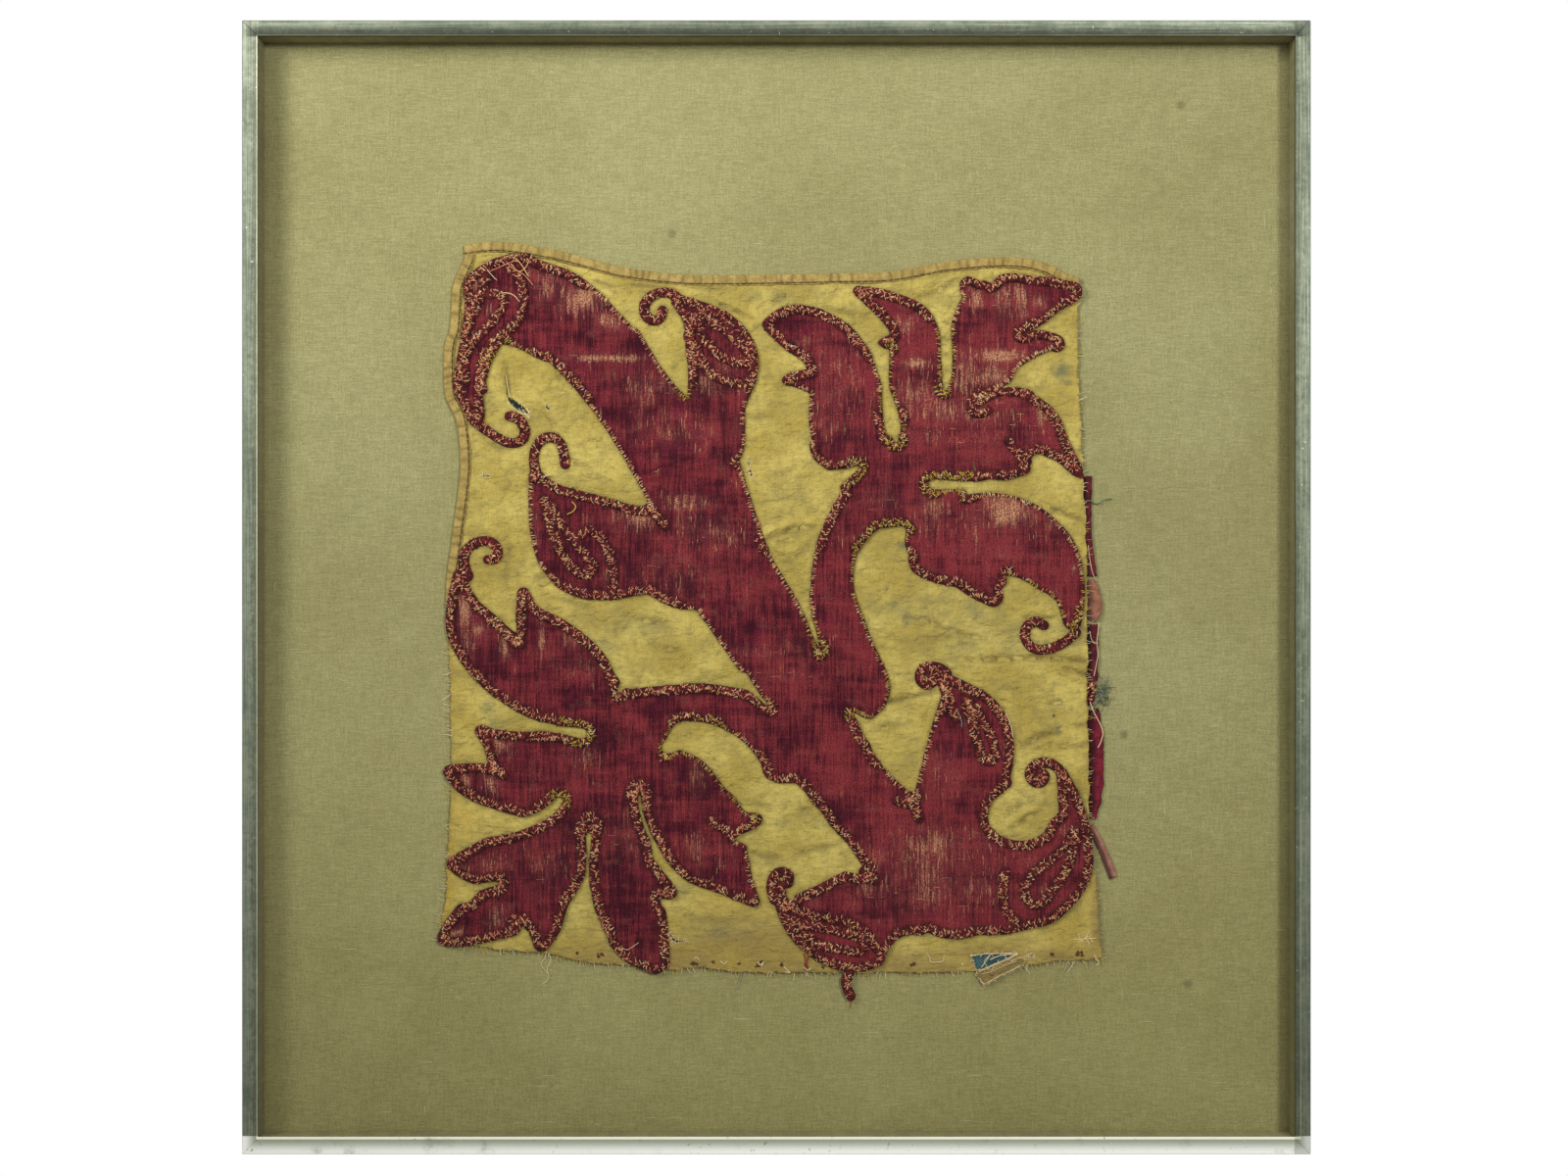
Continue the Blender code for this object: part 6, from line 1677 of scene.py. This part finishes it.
# Strips sewn behind the right edge, and the lining under the hole.
strip_cloths = {name: plain_cloth_material(name, *pair, with_painted_shade=True) for name, pair in STRIP_CLOTHS.items()}
for name, stations in RIGHT_STRIPS.items():
    build_strip(name, [(row[1], row[0]) for row in stations], [(row[2], row[0]) for row in stations],
                strip_cloths[CLOTH_OF_STRIP[name]])
tail = even_track(smooth_track(TAPE_TAIL), STRIP_STEP)
build_strip("tape_tail", offset_track(tail, TAPE_TAIL_HALF), offset_track(tail, -TAPE_TAIL_HALF),
            strip_cloths["pink_tape"], 0.0003)
dressed(cloth_mesh("lining_cloth", depth_in_outline(LINING_EDGE), LINING_CELL,
                   lambda x, y: STRIP_FRONT + 0.0002 * smooth_noise(x, y, 6.0, 91),
                   lambda x, y: LINING_BACK + 0 * x),
        plain_cloth_material("teal_lining", (0.018, 0.050, 0.060), (0.060, 0.125, 0.130)),
        ["lining_scrap"])


# Torn flap below the hole.
def flap_high(x, y):
    return FLAP_FRONT + 0.0007 * np.sin(0.25 * x + 0.1 * y) + 0.0004 * smooth_noise(x, y, 5.0, 94)


flap_depth = depth_in_outline(FLAP_EDGE) + 0.4 * page_noise(4.0, 93)
flap_values = {
    "stain": lambda x, y: 0.3 + 0 * x,
    "soil": lambda x, y: 0.7 + 0.3 * smooth_noise(x, y, 6.0, 95),
    "aged": lambda x, y: 0.3 + 0 * x,
    "rim": lambda x, y: 1.0 + 0 * x,
    # Painted shade over the whole torn flap, uneven.
    "painted_shade": lambda x, y: 0.42 + 0.34 * smooth_noise(x, y, 4.0, 97),
}
dressed(cloth_mesh("silk_flap", flap_depth, FLAP_CELL, flap_high,
                   lambda x, y: flap_high(x, y) - FLAP_THICK, flap_values), silk)

# Dark patches laid on the silk over the tears: painted shade of the slits, with the darker lining seen
# through them.
dressed(cloth_mesh("tear_gaps", tear_depth + 0.3 * page_noise(3.0, 96), TEAR_CELL,
                   field_at(silk_high, TEAR_FRONT), field_at(silk_high, TEAR_BACK)),
        plain_cloth_material("tear_shade_and_lining", (0.008, 0.012, 0.009), (0.026, 0.030, 0.020)))

# Frayed hairs along the raw edges, the hole and the tears.
hairs = {}


def add_hair(tone, radius, *stations, pieces=3):
    """A hair through stations of a place on the page and a height in millimetres."""
    points = long_thread([(*place, high) for place, high in stations], pieces)
    hairs.setdefault(tone, []).append((points, radius))


for track, density in ((ground_bottom, 0.34), (ground_lower, 0.28), (ground_right, 0.20)):
    line = np.array(even_track(track, 1.0))
    for place, normal in zip(line, np.array(offset_track(line, -1.0)) - line):
        if random.random() > density:
            continue
        length = random.uniform(1.5, 5.0) if random.random() < 0.8 else random.uniform(5.0, 10.0)
        lean = random.normal(0, 0.35)
        reach = np.array([normal[0] - lean * normal[1], normal[1] + lean * normal[0]])
        start = place - reach * 1.5
        end = place + reach * length
        middle = (start + end) / 2 + random.normal(0, 0.5, 2)
        tone = random.choice(["pale", "yellow", "linen_thread", "tan"], p=[0.25, 0.35, 0.25, 0.15])
        low = random.uniform(0.5, 1.6)
        add_hair(tone, random.uniform(*HAIR_RADIUS), (start, 2.7), (middle, 2.2), (end, low))
for loop in (smooth_track(closed(HOLE_EDGE)), *[closed(loop) for loop in trace_loops(tear_depth)]):
    for place in np.array(even_track(loop, 1.6)):
        if 380 < place[1] < 408:
            continue
        angle = random.uniform(0, 2 * math.pi)
        reach = towards(angle) * random.uniform(1.5, 4.0)
        add_hair("pale", random.uniform(*FINE_HAIR_RADIUS), (place - reach * 0.2, 2.9),
                 (place + reach * 0.5, 3.5), (place + reach, 3.1))
for place in np.array(even_track(closed(FLAP_EDGE), 2.0)):
    angle = random.uniform(0, 2 * math.pi)
    reach = towards(angle) * random.uniform(1.5, 4.5)
    middle = place + random.normal(0, 0.4, 2)
    add_hair("pale", random.uniform(*FINE_HAIR_RADIUS), (place - reach * 0.5, 4.3), (middle, 4.9),
             (place + reach * 0.5, 4.2))

# Tangle of threads at the right edge, and the loose threads that were drawn.
for _ in range(TANGLE_THREADS):
    place = np.array([random.uniform(*TANGLE_X), random.uniform(*TANGLE_Y)])
    heading = random.uniform(-0.9, 1.2)
    stations = []
    for index in range(5):
        stations.append((place, 1.6 + 1.2 * math.sin(index * 0.8) * random.uniform(0.3, 1.0)))
        heading += random.normal(0, 0.7)
        place = place + towards(heading) * random.uniform(1.5, 5.5)
    tone = random.choice(["grey", "green", "shade"], p=[0.25, 0.35, 0.4])
    add_hair(tone, random.uniform(*HAIR_RADIUS), *stations)
for tone, radius, *stations in LOOSE_THREADS:
    add_hair(tone, radius * MILLIMETRE, *[(row[:2], row[2]) for row in stations], pieces=5)
for tone, items in hairs.items():
    thread_piece("loose_threads_" + tone, [points[None] for points, _ in items],
                 [radius for _, radius in items], threads_of[tone], 4)

# What is left of a cord on the right edge.
rows = []
for _ in range(REMNANT_STITCHES):
    rows.append((random.uniform(*REMNANT_X), random.uniform(*REMNANT_Y), random.uniform(0, math.pi),
                 random.uniform(2.5, 4.5), random.uniform(*STUB_RADIUS),
                 random.choice(["dark", "red", "salmon", "gold"], p=[0.3, 0.3, 0.2, 0.2])))
lay_threads("cord_remnant_{}", rows, np.full(xs.shape, REMNANT_FRONT), 0.0003)

# Ends of old brown stitches.
rows = []
for x, y, radius in BROWN_KNOTS:
    for _ in range(KNOT_STITCHES):
        angle = random.uniform(0, math.pi)
        rows.append((x + random.normal(0, 0.3) * radius, y + random.normal(0, 0.3) * radius, angle,
                     radius * random.uniform(1.0, 1.8), random.uniform(*STUB_RADIUS), "brown"))
lay_threads("brown_knots", rows, silk_high, 0.0003)

# Linen stretched over the board.
low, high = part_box("linen_mount")
grid_x, grid_z = np.meshgrid(np.linspace(low[0], high[0], LINEN_COLUMNS),
                             np.linspace(low[2], high[2], LINEN_ROWS), indexing="ij")


def linen_place(x, z, forward=0.0):
    """Places on the face of the linen, with its slight waves."""
    rise = 0.00008 * smooth_noise(x * 1000, z * 1000, 60.0, 51)
    rise = rise + 0.00004 * smooth_noise(x * 1000, z * 1000, 9.0, 52)
    return np.stack([x, -LINEN_FACE - rise - forward, z], axis=-1)


linen_back = np.stack([grid_x, 0 * grid_x - LINEN_FACE + LINEN_THICK, grid_z], axis=-1)
dressed(sheet_mesh("linen_cloth", linen_place(grid_x, grid_z), linen_back),
        linen_material("linen", (0.414, 0.379, 0.180), (0.363, 0.328, 0.147), LINEN_SPOTS),
        ["linen_mount"])

# Slubs of its weave, where the textile does not cover it.
points = []
radius = []
left, right, top, bottom = TEXTILE_BOUNDS
for _ in range(SLUBS):
    x = random.uniform(low[0] + SLUB_MARGIN, high[0] - SLUB_MARGIN)
    z = random.uniform(low[2] + SLUB_MARGIN, high[2] - SLUB_MARGIN)
    length = random.uniform(0.0015, 0.014) if random.random() < 0.75 else random.uniform(0.0008, 0.0015)
    level = random.random() < 0.8
    run = np.array([-0.5, 0.0, 0.5]) * length
    drawn_x = x / UNIT + DRAWN_CENTRE_X
    drawn_y = DRAWN_CENTRE_Y - (z - MIDDLE_Z) / UNIT
    near = left < drawn_x < right and top < drawn_y < bottom
    if near and sample(ground_depth, drawn_x, drawn_y) > -SLUB_APART:
        continue
    points.append(linen_place(x + run * level, z + run * (not level), SLUB_LIFT))
    radius.append(random.uniform(*SLUB_RADIUS))
thread_piece("linen_slubs", [np.array(points)], [np.array(radius)], threads_of["linen_thread"])

# Finishes of the CAD nodes that stay.
metal = metal_material("aged_metal")
# Lit and shaded copies of the linen for the spacers: painted shade on the top and side ones, painted light on
# the bottom one.
painted_shade_spacer_cloth = linen_material("painted_shade_spacer_cloth", (0.31, 0.280, 0.128), (0.235, 0.210, 0.088))
painted_lit_spacer_cloth = linen_material("painted_lit_spacer_cloth", (0.48, 0.445, 0.215), (0.41, 0.375, 0.172))
finishes = {"glazing": glass_material("clear_sheet"), "backing_board": board_material("board")}
for side in ("top", "bottom", "left", "right"):
    finishes["rail_" + side] = metal
    finishes["spacer_" + side] = painted_lit_spacer_cloth if side == "bottom" else painted_shade_spacer_cloth
for name, finish in finishes.items():
    for slot in bpy.data.objects[name].material_slots:
        slot.material = finish

# Bright lip around the opening of the frame, wider at the bottom: a raised edge that catches the light, with
# a painted highlight in its lighter colour.
vertices = []
for right, upper in CORNERS:
    for out, proud in LIP_SECTION:
        across = OPENING_RIGHT + out * MILLIMETRE + (LIP_RIGHT_OUT if right > 0 else 0.0)
        level = OPENING_TOP + out * MILLIMETRE
        if upper < 0:
            level = OPENING_BOTTOM - out * LIP_BOTTOM_UNIT + LIP_BOTTOM_UP
        vertices.append((right * across, -FRAME_DEPTH - proud * MILLIMETRE, level))
number = np.arange(len(vertices)).reshape(len(CORNERS), -1)
dressed(new_mesh("frame_lip", vertices, ring_faces(np.roll(number, -1, 0), number).tolist(), False),
        metal_material("lip_painted_highlight", (0.48, 0.50, 0.37), (0.27, 0.30, 0.21), 0.0))

# Lines of its mitred joints.
points = []
for right, upper in CORNERS:
    corner = np.array([right * FRAME_WIDTH / 2, -FRAME_DEPTH - MITRE_LIFT,
                       MIDDLE_Z + upper * FRAME_HEIGHT / 2])
    inward = np.array([-right * RAIL_FACE, 0.0, -upper * RAIL_FACE])
    points.append([corner + inward * t for t in (0.05, 0.5, 0.90)])
thread_piece("mitre_lines", [np.array(points)], [MITRE_RADIUS],
             metal_material("mitre_dark", (0.075, 0.080, 0.060), (0.030, 0.034, 0.026)))

# Floor, light and camera.
corners = [(x, y, FLOOR_Z) for x, y in ((-2, -2.5), (2, -2.5), (2, 1), (-2, 1))]
floor = placed("floor", new_mesh("floor", corners, [(0, 1, 2, 3)], False))
floor.data.materials.append(floor_material("floor"))

studio = bpy.data.worlds.new("studio")
bpy.context.scene.world = studio
studio.use_nodes = True
tree = studio.node_tree
tree.nodes.clear()
seen = node(tree, "ShaderNodeBackground", {"Color": (1, 1, 1, 1), "Strength": 1.0})
lit = node(tree, "ShaderNodeBackground", {"Color": (1.0, 0.99, 0.97, 1), "Strength": 0.24})
path = node(tree, "ShaderNodeLightPath")
both = node(tree, "ShaderNodeMixShader", {0: path.outputs["Is Camera Ray"], 1: lit.outputs[0],
                                          2: seen.outputs[0]})
node(tree, "ShaderNodeOutputWorld", {"Surface": both.outputs[0]})


def area_light(name, place, aim, size, power, spread):
    data = bpy.data.lights.new(name, "AREA")
    data.spread = math.radians(spread)
    data.shape = "DISK"
    data.size = size
    data.energy = power
    made = placed(name, data)
    made.location = place
    made.rotation_euler = (Vector(aim) - Vector(place)).to_track_quat("-Z", "Y").to_euler()


area_light("light_left", (-1.26, -1.5, 0.5), aim=(-0.05, 0, 0.06), size=0.84, power=6.1, spread=70)
area_light("light_right", (1.24, -3.05, 0.3), aim=(0.1, 0, -0.1), size=0.5, power=24, spread=120)

bpy.context.scene.view_settings.view_transform = "Standard"
camera_data = bpy.data.cameras.new("camera")
camera_data.sensor_width = 36.0
camera_data.lens = 61.5
camera = placed("camera", camera_data)
camera.location = (0.0058, -2.095, -0.4285)
camera.rotation_euler = (math.pi / 2, 0.0, 0.0)
bpy.context.scene.camera = camera
